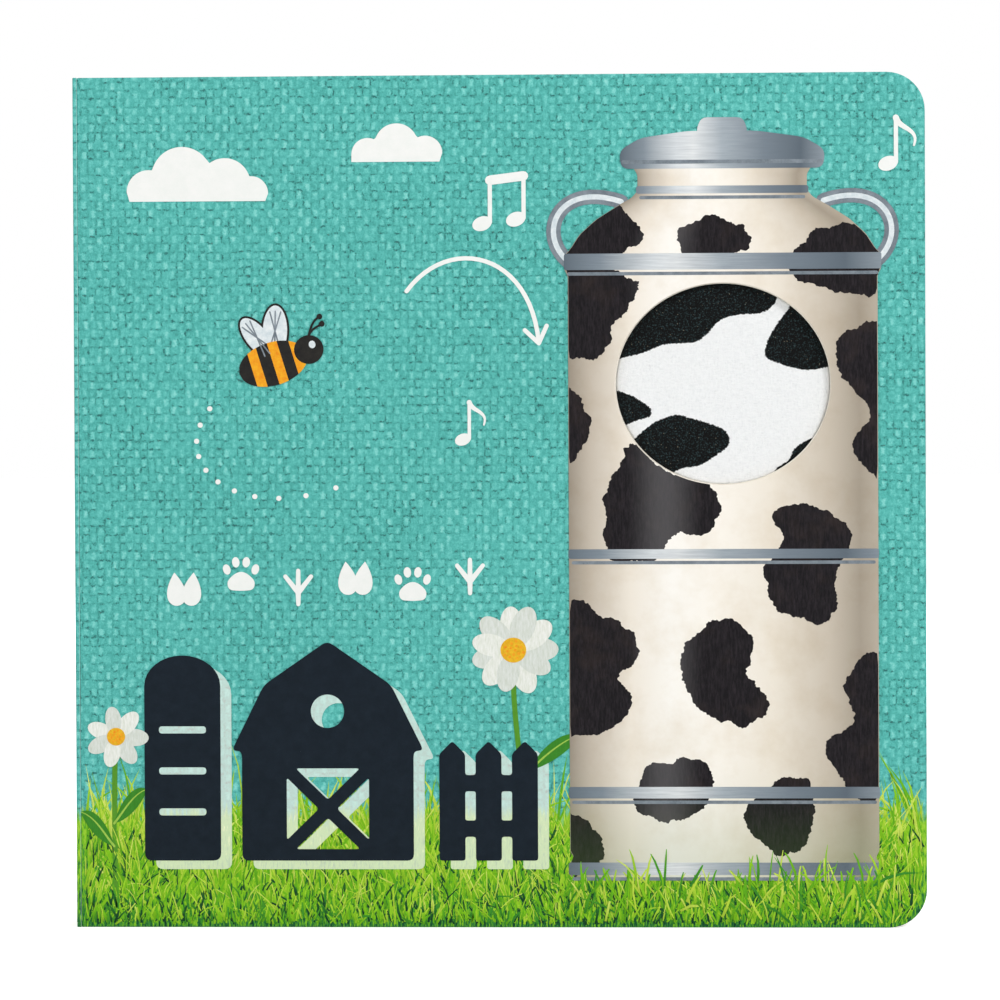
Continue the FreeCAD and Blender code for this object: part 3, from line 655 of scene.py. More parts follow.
# the churn's hide spots, from the window's centre
HIDE_SPOTS = [
    [(-36, 23.5), (-26, 24), (-17, 21.5), (-19, 17), (-23, 12), (-25, 7), (-30, 5.5), (-36, 8)],
    [(25, 9), (30, 12), (37, 10), (37, -17), (31.5, -19.5), (27, -13), (29.5, -5), (24.5, 1)],
    [(-19, -12), (-12, -18), (-4, -20), (-1, -25.5), (-4.5, -31), (-11, -31), (-15, -36.5), (-22, -37),
     (-25, -30), (-23.5, -21)],
    [(-37, -1), (-31, -2), (-28, -8), (-30.5, -15), (-37, -16)],
    [(11, -28), (17, -25), (24, -27.5), (26.5, -34), (23, -39.5), (24.5, -46), (18, -50), (11, -46.5),
     (9, -39), (12, -33.5)],
    [(-37, -45), (-29, -46), (-22, -49), (-18.5, -55), (-22, -61), (-20, -68), (-26, -73), (-37, -71)],
    [(-6, -52), (0, -49), (6, -53), (5, -60), (9, -66), (4, -71.5), (-3.5, -69), (-8, -63), (-9, -57)],
    [(37, -58), (30, -57), (25, -62), (26.5, -70), (22, -76), (25, -84), (31, -87), (37, -84)],
    [(-15, -80), (-8, -77.5), (-2, -81), (-4, -87.5), (-10, -91), (-17, -90.5), (-19, -85)],
    [(8, -85), (15, -82), (19, -87), (17.5, -95), (11, -98.5), (6, -94), (4.5, -89)],
    [(-37, -88), (-31, -89), (-26, -94), (-27.5, -101), (-37, -102)],
    [(15, 24), (20, 20), (27, 18.5), (37, 20), (37, 31), (24, 33), (17, 30)],
    [(-9, 31.5), (-2, 34.5), (4.5, 33), (5, 28.5), (-1, 26), (-8, 27.5)],
    [(-37, 38), (-28, 40), (-21, 37), (-17, 31), (-22, 27), (-37, 26)],
]


# half width of the churn at each height above its foot
CHURN_PROFILE = [
    (0.0, 31.4), (1.2, 32.4), (3.4, 32.4), (4.6, 31.4), (6.0, 32.2), (126.0, 32.2), (127.4, 33.0),
    (130.2, 33.0), (131.4, 31.8), (134.5, 29.8), (137.6, 26.4), (140.4, 22.0), (142.2, 18.8),
    (143.6, 17.6), (147.0, 17.6), (148.6, 18.6), (149.4, 20.6),
]
CHURN_HEIGHT = CHURN_PROFILE[-1][0]
HIDE_WAVES = ((0.22, 1.6), (0.8, 0.5), (2.4, 0.35))     # scale and reach of the spots' ragged edges
HIDE_INSET = 0.12           # how far a spot ends inside the churn's outline


def roundness(g):
    """Where a point lies across the churn, from 0 at its left outline to 1 at its right one."""
    height = g.range(g.z, CHURN_FOOT, CHURN_FOOT + CHURN_HEIGHT)
    bend = g.node("ShaderNodeFloatCurve", {"Value": height})
    widest = max(half for _, half in CHURN_PROFILE)
    line = bend.mapping.curves[0]
    while len(line.points) < len(CHURN_PROFILE):
        line.points.new(0.5, 0.5)
    for point, (height, half) in zip(line.points, CHURN_PROFILE):
        point.location = (height / CHURN_HEIGHT, half / widest)
        point.handle_type = "VECTOR"
    bend.mapping.update()
    return (g.x - CHURN_X) / (Number(g, bend.outputs[0]) * (widest * 2)) + 0.5


def near_grass(g, colour, reach, share, green):
    """A colour that takes on some green near the churn's foot."""
    return g.mix(g.fade(g.z, CHURN_FOOT + reach, CHURN_FOOT) * share, colour, green)


def enamel_print():
    """The churn's body: cream enamel, shaded as a round can."""
    g = Graph("churn_enamel_print")
    body = g.mix(g.range(g.noise(0.09, 4.0, 0.65), 0.45, 0.75), "FAF6EF", "EEE6D9")
    lit = g.mix(1.0, body, g.ramp(roundness(g), [
        (0.0, "9C948A"), (0.07, "C6BEB4"), (0.20, "F2EDE6"), (0.33, "FFFFFF"), (0.48, "FEFCF9"),
        (0.66, "F0EBE3"), (0.84, "CBC3B8"), (0.94, "A79F94"), (1.0, "B9B1A6")]), "MULTIPLY")
    g.set(Base_Color=near_grass(g, lit, 26.0, 0.30, "6E8C4A"))
    return satin(g)


def hide_print():
    """The churn's dark spots, with a gloss down the can and short hair."""
    g = Graph("hide_print")
    gloss = g.fade(abs(roundness(g) - 0.31), 0.13, 0.0)
    hair = g.noise(1.4, 4.0, 0.7, (1.8, 1.0, 0.35))
    black = g.mix(g.range(hair, 0.4, 0.75), "121013", "2C272B")
    black = g.mix(g.range(g.noise(0.14, 3.0, 0.6), 0.5, 0.8) * 0.35, black, "40342F")
    black = g.mix(gloss * 0.25, black, "8C8A8C")
    g.set(Base_Color=near_grass(g, black, 20.0, 0.2, "4E6A34"))
    return satin(g)


def steel_print(name, brushed, half):
    """A round steel part in the picture, with the share of its brushed tone and its half width."""
    g = Graph(name)
    shade = g.ramp(g.range(g.x, CHURN_X - half, CHURN_X + half), [
        (0.0, "54606A"), (0.12, "8A959E"), (0.28, "EDF1F3"), (0.36, "F9FBFB"), (0.5, "B4BDC4"),
        (0.7, "7C8791"), (0.88, "59646E"), (1.0, "98A2AA")])
    tone = g.noise(1.6, 3.0, 0.6, (0.1, 1.0, 2.2)) * brushed
    g.set(Base_Color=g.mix(tone, shade, "66717B"))
    return satin(g)


def moulded(name, pale, dark):
    """Moulded plastic with a fine spark-eroded grain."""
    g = Graph(name)
    grain = g.noise(7.0, 3.0, 0.7)
    tone = grain * 0.3 + g.noise(0.12, 3.0, 0.6) * 0.6
    g.set(Base_Color=g.mix(tone, pale, dark), Roughness=grain * 0.2 + 0.38)
    g.bump(grain, 0.03, 0.7)
    return g.material


def metal(name, pale, dark, roughness):
    """Rolled or turned metal with fine marks."""
    g = Graph(name)
    marks = g.noise(2.5, 4.0, 0.7, (0.3, 4.0, 4.0))
    tone = marks * 0.4 + g.noise(0.25, 4.0, 0.6) * 0.6
    g.set(Base_Color=g.mix(tone, pale, dark), Roughness=marks * 0.25 + (roughness - 0.1), Metallic=1.0)
    g.bump(marks, 0.01, 0.6)
    return g.material


def fibrous(name, pale, dark, scale, roughness=0.9):
    """Pulp, card, foam or resin: an uneven matt surface with pores of the given scale."""
    g = Graph(name, roughness, 0.2)
    pores = g.noise(scale, 4.0, 0.75)
    g.set(Base_Color=g.mix(g.range(pores, 0.3, 0.7), pale, dark))
    g.bump(pores, 0.08, 0.8)
    return g.material


def laminate(name):
    """A green circuit board with copper tracks under its lacquer."""
    g = Graph(name, 0.28)
    x, _, z = g.split(g.vector("FRACTION", g.vector("SCALE", g.place, Scale=0.55)))
    track = g.math("MAXIMUM", g.math("GREATER_THAN", x, 0.72), g.math("GREATER_THAN", z, 0.8))
    g.set(Base_Color=g.mix(track * g.range(g.noise(0.3, 1.0), 0.48, 0.52), "0F4A2A", "1C6B3C"))
    g.bump(track, 0.03, 0.5)
    return g.material


def film(name):
    """Clear film over carbon and silver print."""
    g = Graph(name, 0.22)
    lines = g.range(g.math("FRACT", (g.x + g.z) * 0.4), 0.52, 0.56)
    g.set(Base_Color=g.mix(lines, "DDD7B8", "A9A9A0"))
    g.bump(lines, 0.02, 0.5)
    return g.material


# the picture's shapes

# the inks that every printed piece can use
INKS = {
    "navy": ink("navy_ink", NAVY, NAVY_LIGHT),
    "pale": pale_print("pale_ink"),
    "white": ink("white_ink", WHITE, "ECEEEA"),
    "enamel": enamel_print(),
    "steel": steel_print("steel_print", 0.55, 21.5),
    "band": steel_print("band_print", 0.7, 33.5),
    "painted": painted_ink("painted_ink"),
    "black": ink("black_ink", "1B1A1B", "2B2926"),
    "orange": ink("orange_ink", "E9871C", "F4B52A", 0.9),
    "wing": ink("wing_ink", "E8EDEE", "C7D3D8", 0.8),
    "yellow": ink("yellow_ink", "F2C531", "D99A1E", 1.6),
    "shade": ink("shade_ink", "6B757D", "89929A"),
    "hide": hide_print(),
}
INK_NUMBERS = {name: number for number, name in enumerate(INKS)}
LIFTS = 13                  # this many shapes in a row are lifted by different amounts
LIFT = 0.032                # one lift, as a share of a layer
BLADE_STEPS = 3             # straight parts of a blade of grass


class Picture(Build):
    """A printed picture on one face of a board. Each shape lies some ink layers above the print, and
    is lifted a little, so that shapes of one layer that overlap never share a plane."""

    def __init__(self, face, side, plane="page", fits=on_page, step=LAYER):
        super().__init__(plane)
        self.face_depth, self.side, self.fits, self.step = face, side, fits, step
        self.shapes = 0

    def depths(self, layer):
        """Where a shape of this layer starts and ends, from front to back."""
        return sorted((self.face_depth + self.side * layer * self.step, self.face_depth - self.side * SUNK))

    def shape(self, outline, layer, ink_name, colour="FFFFFF", holes=()):
        """One printed shape. The colour counts for the painted ink only."""
        self.shapes += 1
        lifted = layer + self.shapes % LIFTS * LIFT
        self.plate([outline, *holes], *self.depths(lifted), INK_NUMBERS[ink_name], hexed(colour))

    def line(self, points, width, layer, ink_name, colour="FFFFFF", taper=1.0):
        self.shape(stroke(points, width, taper), layer, ink_name, colour)

    def blade(self, root, length, lean, bend, width, layer, colours):
        """One curved blade of grass, wide near its root and pointed at its tip."""
        x, z = root
        angle = math.pi / 2 + lean
        centre, sides = [], []
        for _ in range(BLADE_STEPS + 1):
            centre.append((x, z))
            sides.append(angle + math.pi / 2)
            x += length / BLADE_STEPS * math.cos(angle)
            z += length / BLADE_STEPS * math.sin(angle)
            angle += bend / BLADE_STEPS
        if not all(self.fits(*point) for point in centre):
            return
        near, far = self.depths(layer)
        rows = []
        for k in range(BLADE_STEPS):
            share = k / BLADE_STEPS
            half = width / 2 * (0.7 + 0.6 * share if share < 0.5 else 2.0 * (1 - share))
            paint = between(*colours, min(1.0, share * 1.4))
            pair = placed([(half, 0), (-half, 0)], *centre[k], sides[k])
            rows.append(self.ring(pair, near, paint) + self.ring(pair[::-1], far, paint))
        tip = self.ring([centre[-1]], (near + far) / 2, colours[1])[0]
        kind = INK_NUMBERS["painted"]
        for low, high in zip(rows, rows[1:]):
            self.wall(high, low, kind)
        self.fan(tip, rows[-1], kind)
        self.face(tuple(rows[0][::-1]), kind)


# rows of blades: count, roots, lengths, widths and layers from and to, darkest and palest green
GRASS_ROWS = [
    (700, (13.0, 23.0), (7.0, 15.0), (0.30, 0.75), (1.0, 1.6), (2, 6)),
    (950, (6.0, 18.0), (7.0, 13.0), (0.28, 0.75), (1.6, 2.4), (2, 6)),
    (1050, (1.0, 12.0), (6.0, 12.0), (0.28, 0.75), (2.4, 3.1), (2, 5)),
    (700, (0.6, 4.5), (4.0, 8.0), (0.28, 0.70), (3.1, 3.5), (0, 5)),
    (700, (0.6, 2.2), (2.5, 5.0), (0.24, 0.60), (3.3, 3.7), (0, 5)),
    (620, (3.0, 19.0), (1.2, 3.6), (0.20, 0.50), (3.0, 3.9), (0, 1)),
    (450, (0.6, 17.0), (3.0, 8.0), (0.16, 0.40), (3.0, 4.2), (0, 3)),
    (1300, (1.0, 24.0), (2.5, 8.0), (0.16, 0.34), (3.2, 4.4), (4, 6)),
]


def grass(picture, seed, low_x, high_x, rows=GRASS_ROWS, share=1.0):
    """A bank of blades along the foot of the picture."""
    draw = random.Random(seed)
    greens = [hexed(code) for code in LEAF_GREENS]
    for count, roots, lengths, widths, layers, tones in rows:
        for _ in range(int(count * share)):
            root = (draw.uniform(low_x, high_x), draw.uniform(*roots))
            tuft = noise.noise(Vector((root[0] * 0.12, root[1] * 0.1, seed)))
            length = draw.uniform(*lengths) * (1 + 0.5 * tuft)
            lean = draw.gauss(0.0, 0.36) + 0.45 * tuft
            bend = draw.gauss(0.0, 0.45) + lean * 0.5
            first = draw.randint(tones[0], tones[1] - 1)
            colours = [between(greens[first], [0, 0, 0, 1], draw.uniform(0.0, 0.32))]
            colours.append(between(greens[first], greens[first + 1], draw.random()))
            width = draw.uniform(*widths)
            picture.blade(root, length, lean, bend, width, draw.uniform(*layers), colours)


def barn(x, z, width, height):
    """A barn with a gambrel roof, a round loft window and a braced door: outline and holes."""
    half, eaves = width / 2, z + height * 0.50
    outline = rounded(mirrored(x, [
        (half, z), (half, eaves), (half * 1.12, eaves), (half * 0.74, z + height * 0.80),
        (0, z + height)]), 1.4)
    loft = oval(x, z + height * 0.68, 3.5, 3.5, 40)
    door, brace = width * 0.24, 1.9
    low, top = z + 2.4, z + height * 0.42
    middle = (low + top) / 2
    panels = [
        [(-door + brace, low), (door - brace, low), (0, middle - brace)],
        [(-door + brace, top), (0, middle + brace), (door - brace, top)],
        [(-door, low + brace), (-brace, middle), (-door, top - brace)],
        [(door, low + brace), (door, top - brace), (brace, middle)],
    ]
    return [outline, loft] + [rounded(placed(panel, x, 0), 0.7) for panel in panels]


def silo(x, z, width, height):
    """A silo with a domed top and three slits."""
    half, rise = width / 2, width * 0.4
    dome = [(x + half * math.cos(a), z + height - rise + rise * math.sin(a)) for a in turns(32)[:17]]
    corners = [(x - half, z + 8.0), (x - half, z), (x + half, z), (x + half, z + 8.0)]
    foot = rounded(corners, 1.6, 4)[5:-5]       # without the two upper corners, five points each
    levels = [z + height * share for share in (0.22, 0.42, 0.62)]
    return [foot + dome] + [bar(x, half * 0.62, level, level + 1.5, 0.7) for level in levels]


def fence(x, z, count, pitch, width, height, rails):
    """Pointed pickets on two rails, as one outline with holes between the rails."""
    low, high, thick = rails
    top, foot, gaps = [], [], []
    for k in range(count):
        left = x + pitch * k
        right, after = left + width, left + pitch
        shoulder = z + height - width / 2
        top += [(left, shoulder), (left + width / 2, z + height), (right, shoulder)]
        foot += [(left, z), (right, z)]
        if k < count - 1:
            top += [(right, z + high + thick), (after, z + high + thick)]
            foot += [(right, z + low), (after, z + low)]
            gaps.append(bar((right + after) / 2, (after - right) / 2, z + low + thick, z + high))
    return [rounded(foot + top[::-1], 0.6, 3)] + gaps


def cloud(x, z, puffs):
    """A cloud with a flat foot, drawn round its puffs, each (offset, height, radius)."""
    low = min(a - r for a, _, r in puffs)
    high = max(a + r for a, _, r in puffs)
    top = []
    for k in range(73):
        along = low + (high - low) * (1 - math.cos(math.pi * k / 72)) / 2
        heights = [b + math.sqrt(r * r - (along - a) ** 2) for a, b, r in puffs if abs(along - a) <= r]
        top.append((x + along, z + max([0.01] + heights)))
    return [(x + low + 0.6, z), (x + high - 0.6, z)] + top[::-1]


def churn_half(z):
    """Half of the churn's width at a height on the page."""
    for (low, first), (high, last) in zip(CHURN_PROFILE, CHURN_PROFILE[1:]):
        if z - CHURN_FOOT <= high:
            return first + (last - first) * max(0.0, (z - CHURN_FOOT - low) / (high - low))
    return CHURN_PROFILE[-1][1]


def hide_spot(points, seed):
    """A spot's ragged outline, kept on the churn and clear of the window."""
    loop = flowing(points, 34)
    outline, edge = [], []      # inside the churn, and where and on which side it is left
    for k, (x, z) in enumerate(loop):
        ahead = Vector(loop[(k + 1) % len(loop)]) - Vector(loop[k - 1])
        side = Vector((ahead.y, -ahead.x)).normalized()
        push = sum(
            reach * noise.noise(Vector((x * scale, z * scale, seed + scale)))
            for scale, reach in HIDE_WAVES)
        x, z = x + side.x * push, z + side.y * push
        clear = min(1.0, math.hypot(x / (WINDOW_LONG + CUT_EDGE), z / (WINDOW_SHORT + CUT_EDGE)))
        x, z = WINDOW_X + x / clear, WINDOW_Z + z / clear
        if abs(x - CHURN_X) < churn_half(z) - HIDE_INSET:
            outline.append((x, z))
        else:
            edge.append((len(outline), math.copysign(1, x - CHURN_X)))
    if edge:
        place, side = edge[0]
        outline = outline[place:] + outline[:place]
        first, last = outline[-1][1], outline[0][1]
        for k in range(1, 12):
            z = first + (last - first) * k / 12
            outline.append((CHURN_X + side * (churn_half(z) - HIDE_INSET), z))
    return outline


def churn(picture):
    """The milk churn round the window, with its bands, handles and lid."""
    top = CHURN_FOOT + CHURN_HEIGHT
    for side in (-1, 1):
        handle = curve([(CHURN_X + side * across, top - drop) for across, drop in (
            (29.5, 22.0), (39.5, 17.5), (36.0, 3.0), (21.0, 8.0))])
        picture.line(handle, 3.0, 5, "shade")
        picture.line(handle, 1.1, 5.6, "wing")
    outline = mirrored(CHURN_X, [(half, CHURN_FOOT + height) for height, half in CHURN_PROFILE])
    opening = window_oval(WINDOW_LONG + CUT_EDGE, WINDOW_SHORT + CUT_EDGE, 120)
    picture.shape(rounded(outline, 0.5, 2), 6, "enamel", holes=[opening])
    for seed, points in enumerate(HIDE_SPOTS):
        picture.shape(hide_spot(points, seed), 6.45, "hide")
    for low, high, half, kind in (
            (1.0, 3.6, 32.5, "band"), (17.0, 19.4, 32.4, "band"), (67.0, 69.0, 32.3, "band"),
            (127.2, 130.6, 33.0, "band"), (143.0, 144.6, 17.9, "steel")):
        low, high = CHURN_FOOT + low, CHURN_FOOT + high
        picture.shape(bar(CHURN_X, half, low, high), 7.4, kind)
        under = [(CHURN_X + side * (half - 1), low - 0.8) for side in (-1, 1)]
        picture.line(under, 0.7, 6.95, "shade")
    lid = [(21.0, top - 1.2), (21.4, top + 2.6), (17.0, top + 5.2), (7.0, top + 6.6)]
    picture.shape(rounded(mirrored(CHURN_X, lid), 1.6), 7.9, "steel")
    knob = [(5.5, top + 6.0), (4.4, top + 9.4)]
    picture.shape(rounded(mirrored(CHURN_X, knob), 1.4), 8.4, "steel")
    rim = [(CHURN_X + side * 20.5, top + 0.2) for side in (-1, 1)]
    picture.line(rim, 0.8, 8.4, "shade")


def bee(picture, x, z, turn):
    """A striped bee with two pairs of wings."""
    def put(points, layer, ink_name):
        picture.shape(placed(points, x, z, turn), layer, ink_name)

    for long, short, tilt, a, b in ((5.4, 2.7, 1.95, -1.6, 6.2), (5.8, 3.0, 1.25, 2.4, 6.4)):
        put(oval(a, b, long, short, 40, tilt), 6, "black")
        put(oval(a, b, long - 0.45, short - 0.45, 40, tilt), 7, "wing")
        for spread in (-0.28, 0.0, 0.28):
            vein = [(1.2 - long, 0.0), ((long - 1.2) * 0.9, 0.0)]
            put(stroke(placed(vein, a, b, tilt + spread), 0.3), 8, "shade")
    edges = [-1.0, -0.62, -0.34, 0.0, 0.28, 0.60, 1.0]
    for k, (low, high) in enumerate(zip(edges, edges[1:])):
        slices = [low + (high - low) * step / 8 for step in range(9)]
        upper = [(7.4 * share, 4.5 * math.sqrt(max(0.0, 1 - share * share))) for share in slices]
        loop = [(a, -b) for a, b in upper] + upper[::-1]
        tail_once = loop[:-1] if k == 0 else loop
        put(tail_once, 8, "orange" if k % 2 else "black")
    put(oval(8.0, 0.6, 3.1, 3.0, 32), 8.6, "black")
    put(oval(9.0, 1.4, 0.7, 0.8, 20), 9.2, "wing")
    for rise in (3.6, 5.2):
        feeler = curve([(8.6, 3.0), (9.4, 4.2), (10.4, rise + 1.0), (12.0, rise + 1.2)], 10)
        put(stroke(feeler, 0.45), 8, "black")
        put(oval(12.2, rise + 1.3, 0.6, 0.6, 16), 8.6, "black")


def flower(picture, x, z, foot, petals, size, seed):
    """A plain open flower on a stem with two leaves."""
    draw = random.Random(seed)
    stem = curve([(foot, 4.0), (foot + 0.5, z * 0.4), (x - 0.8, z * 0.7), (x, z)], 16)
    picture.line(stem, 1.1, 2.9, "painted", "5C9A2E")
    for side, rise in ((-1, 0.50), (1, 0.62)):
        low = (foot, z * rise - 3.0)
        across, up = size * 1.1, 7.2
        upper = [(0.0, 0.0), (1.0, 4.0), (across - 3.0, up + 1.6), (across, up)]
        lower = [(across, up), (across - 1.0, up - 3.0), (3.0, 0.6), (0.0, 0.0)]
        rib = [(0.0, 0.0), (2.0, 2.4), (across - 3.0, up - 0.8), (across, up)]
        lines = [curve([(low[0] + side * a, low[1] + b) for a, b in line], count)
                 for line, count in ((upper, 10), (lower, 10), (rib, 8))]
        picture.shape(lines[0] + lines[1][1:-1], 4.9, "painted", "3F8A2B")
        picture.line(lines[2], 0.5, 5.4, "painted", "A5CC55", 0.3)
    for k in range(petals):
        angle = 2 * math.pi * k / petals + draw.uniform(-0.08, 0.08)
        reach = size * draw.uniform(0.94, 1.06)
        middle = placed([(reach * 0.56, 0.0)], x, z, angle)[0]
        petal = oval(*middle, reach * 0.46, reach * 0.27, 28, angle)
        picture.shape(petal, 6 + 0.4 * (k % 3), "painted", "F4F4F0" if k % 2 else "E3E6E2")
    picture.shape(oval(x, z, size * 0.30, size * 0.29, 32), 8, "yellow")
    for k in range(14):
        middle = placed([(size * 0.24 * math.sqrt((k + 0.5) / 14), 0.0)], x, z, k * 2.4)[0]
        picture.shape(oval(*middle, 0.32, 0.32, 10), 8.6, "orange")


def hoof_mark(picture, x, z):
    half = [(2.6 * math.sin(a) * math.sin(a / 2), 3.5 * math.cos(a)) for a in turns(28)]
    for side in (-1, 1):
        picture.shape(placed(half, x + side * 1.7, z, -side * 0.10), 6, "white")


def paw_mark(picture, x, z):
    pad = mirrored(x, [(2.6, z - 2.4), (3.0, z - 0.6), (1.4, z + 1.0), (0, z + 1.5)])
    picture.shape(rounded([(x, z - 2.6)] + pad, 0.9), 6, "white")
    for a, b in ((-3.0, 1.9), (-1.1, 3.4), (1.1, 3.4), (3.0, 1.9)):
        picture.shape(oval(x + a, z + b, 0.78, 1.1, 24, -a * 0.1), 6, "white")


def bird_mark(picture, x, z):
    for k, (a, b) in enumerate(((-2.7, 2.6), (0.0, 3.8), (2.7, 2.6), (0.0, -3.2))):
        picture.line([(x, z - 0.8), (x + a, z + b)], 1.1, 6 + 0.15 * k, "white", taper=0.8)


def mark_row(picture, marks, count, x, pitch, low, high):
    """A row of animal prints, with every second one higher."""
    for k in range(count):
        marks[k % len(marks)](picture, x + pitch * k, high if k % 2 else low)


def note(picture, x, z, size, paired=False):
    """A white quaver, or two with a beam."""
    def put(points, width, layer, taper=1.0):
        sized = [(x + a * size, z + b * size) for a, b in points]
        picture.line(sized, width * size, layer, "white", taper=taper)

    for across, rise in ((0.0, 0.0), (6.4, 0.8))[:2 if paired else 1]:
        head = (x + (across - 1.5) * size, z + rise * size)
        picture.shape(oval(*head, 1.9 * size, 1.35 * size, 28, 0.35), 6, "white")
        put([(across, rise + 0.2), (across, rise + 8.6)], 0.8, 6.3)
    if paired:
        put([(0.0, 8.2), (6.4, 9.0)], 1.8, 6.6)
    else:
        put(curve([(0.0, 8.6), (0.6 / size, 6.4), (4.6, 6.6), (3.4, 3.4)], 12), 1.2, 6.6, 0.35)


def arrow(picture, points, width, head):
    """A curved arrow with an open head at its last point."""
    picture.line(points, width, 6, "white")
    tip, before = Vector(points[-1]), Vector(points[-4])
    back = (before - tip).normalized() * head
    for turn in (-0.62, 0.62):
        barb = tip + Matrix.Rotation(turn, 2) @ back
        picture.line([tuple(barb), tuple(tip)], width, 6.3 + turn * 0.2, "white")


PUFFS = [(-10.0, 2.0, 4.6), (-3.0, 5.0, 6.4), (6.0, 3.6, 5.4)]      # of the bigger clouds
FARM_FOOT = 14.0            # height of the ground under the buildings


def front_picture(face):
    """Everything printed over the cloth on the front cover."""
    picture = Picture(face, -1)
    grass(picture, 11, COVER_LOW[0], COVER_HIGH[0])
    farm = [
        silo(-66.5, FARM_FOOT, 16.0, 43.0), barn(-36.0, FARM_FOOT, 36.0, 46.0),
        fence(-12.6, FARM_FOOT, 3, 7.6, 5.4, 25.0, (5.0, 14.5, 3.4))]
    for outline, *holes in farm:
        shadow, *gaps = [placed(loop, *SHADOW_SHIFT) for loop in (outline, *holes)]
        picture.shape(shadow, 5, "pale", holes=gaps)
        picture.shape(outline, 6, "navy", holes=holes)
    churn(picture)
    mark_row(picture, [hoof_mark, paw_mark, bird_mark], 6, -66.0, 12.0, 70.9, 73.1)
    bee(picture, -47.0, 118.0, 0.30)
    for spot in curve([(-57.0, 112.0), (-72.0, 100.0), (-58.0, 84.0), (-34.0, 92.0)], 11)[1:]:
        picture.shape(oval(*spot, 0.55, 0.55, 14), 6, "white")
    picture.shape(cloud(-63.0, 152.0, PUFFS + [(11.5, 1.6, 3.6)]), 6, "white")
    picture.shape(cloud(-21.0, 160.0, [(-6.0, 1.6, 3.4), (0.0, 3.4, 4.6), (6.0, 1.8, 3.6)]), 6, "white")
    note(picture, -1.5, 147.0, 1.1, paired=True)
    note(picture, 83.0, 159.0, 1.1)
    note(picture, -6.0, 102.0, 0.9)
    arrow(picture, curve([(-19.0, 133.0), (-10.0, 145.0), (7.0, 141.0), (8.6, 122.0)]), 0.9, 4.0)
    flower(picture, 3.0, 58.0, 6.6, 11, 9.0, 5)
    flower(picture, -80.5, 40.0, -81.0, 7, 6.4, 8)
    tufts = [(190, (1.0, 9.0), (5.0, 10.0), (0.3, 0.7), (9.0, 9.6), (1, 6))]
    grass(picture, 29, CHURN_X - 36.0, CHURN_X + 36.0, tufts)
    return picture


def back_picture(face):
    """The back cover's print: grass, a row of prints and clouds."""
    picture = Picture(face, 1, step=BACK_PRINT_DEPTH / 7)
    grass(picture, 47, COVER_LOW[0], COVER_HIGH[0], share=0.7)
    mark_row(picture, [paw_mark, hoof_mark, bird_mark], 7, -42.0, 13.0, 91.4, 93.4)
    picture.shape(cloud(-35.0, 142.0, PUFFS), 2, "white")
    picture.shape(cloud(42.0, 128.0, [(-8.0, 2.0, 4.2), (0.0, 4.0, 5.6), (8.0, 2.2, 4.4)]), 2, "white")
    return picture


# the book's boards

EDGE = board_edge("board_edge")
INSIDE = hill_print("inside_print")


def make_front_cover():
    """The front board: print on its face, pale cut edges and a picture inside."""
    front, back = COVER_LOW[1], COVER_HIGH[1]
    face = front + PRINT_DEPTH
    build = Build()
    profile = [
        (face, 0.26, 0), (face + 0.05, 0.12, 0), (face + 0.16, 0.03, 0), (face + 0.30, 0.0, 1),
        (back - 0.22, 0.0, 1), (back - 0.06, 0.06, 1), (back, 0.2, 1)]
    hole = [
        (face, -CUT_EDGE, 1), (face + 0.08, -CUT_EDGE * 0.5, 1), (face + 0.3, -0.03, 1),
        (face + 0.6, 0.0, 1), (back - 0.2, 0.0, 1), (back, -0.15, 1)]

    def window(inset):
        return window_oval(WINDOW_LONG - inset, WINDOW_SHORT - inset, 120)

    build.cap(build.slab((page, profile), [(window, hole)], 0), 2, front=False)
    materials = [board_print("front_cloth_print"), EDGE, INSIDE]
    made = build.piece("front_cover", "front_cover", "cover_print", materials, smooth=40)
    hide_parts("front_cover_board")
    front_picture(face).piece("front_cover_inks", "front_cover", "cover_print", INKS.values())


def make_spine():
    """The strip of printed paper over the back edges of the boards."""
    low_x, high_x = SPINE_LOW[0] + SPINE_PRINT_DEPTH, SPINE_HIGH[0]
    front = SPINE_LOW[1] + SPINE_PRINT_DEPTH
    top, foot = SPINE_HIGH[2], SPINE_LOW[2]
    build = Build("level")

    def outline(inset):
        return corner_box(low_x, high_x, front, SPINE_HIGH[1], 0.4, 0.10, inset, 6)

    profile = [
        (top, 0.12, 0), (top - 0.04, 0.04, 0), (top - 0.14, 0.0, 0),
        (foot + 0.14, 0.0, 0), (foot + 0.04, 0.04, 0), (foot, 0.12, 0)]
    build.cap(build.slab((outline, profile), [], 1), 1, front=False)
    materials = [board_print("spine_cloth_print", True), EDGE]
    made = build.piece("spine_strip", "pages", "spine_print", materials, smooth=50)
    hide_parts("spine_wrap")

    def on_spine(a, z):
        return SPINE_LOW[1] + 0.5 < -a < SPINE_HIGH[1] - 0.5 and z > 0.6

    def on_strip(x, z):
        return low_x + 0.3 < x < high_x - 0.1 and z > 0.3

    picture = Picture(low_x, -1, "spine", on_spine, SPINE_PRINT_DEPTH / 5)
    grass(picture, 83, SPINE_LOW[1], SPINE_HIGH[1], share=0.14)
    picture.plane, picture.face_depth, picture.fits = "page", front, on_strip
    grass(picture, 61, low_x - 1.0, high_x + 1.0, share=0.06)
    picture.piece("spine_inks", "pages", "spine_print", INKS.values())


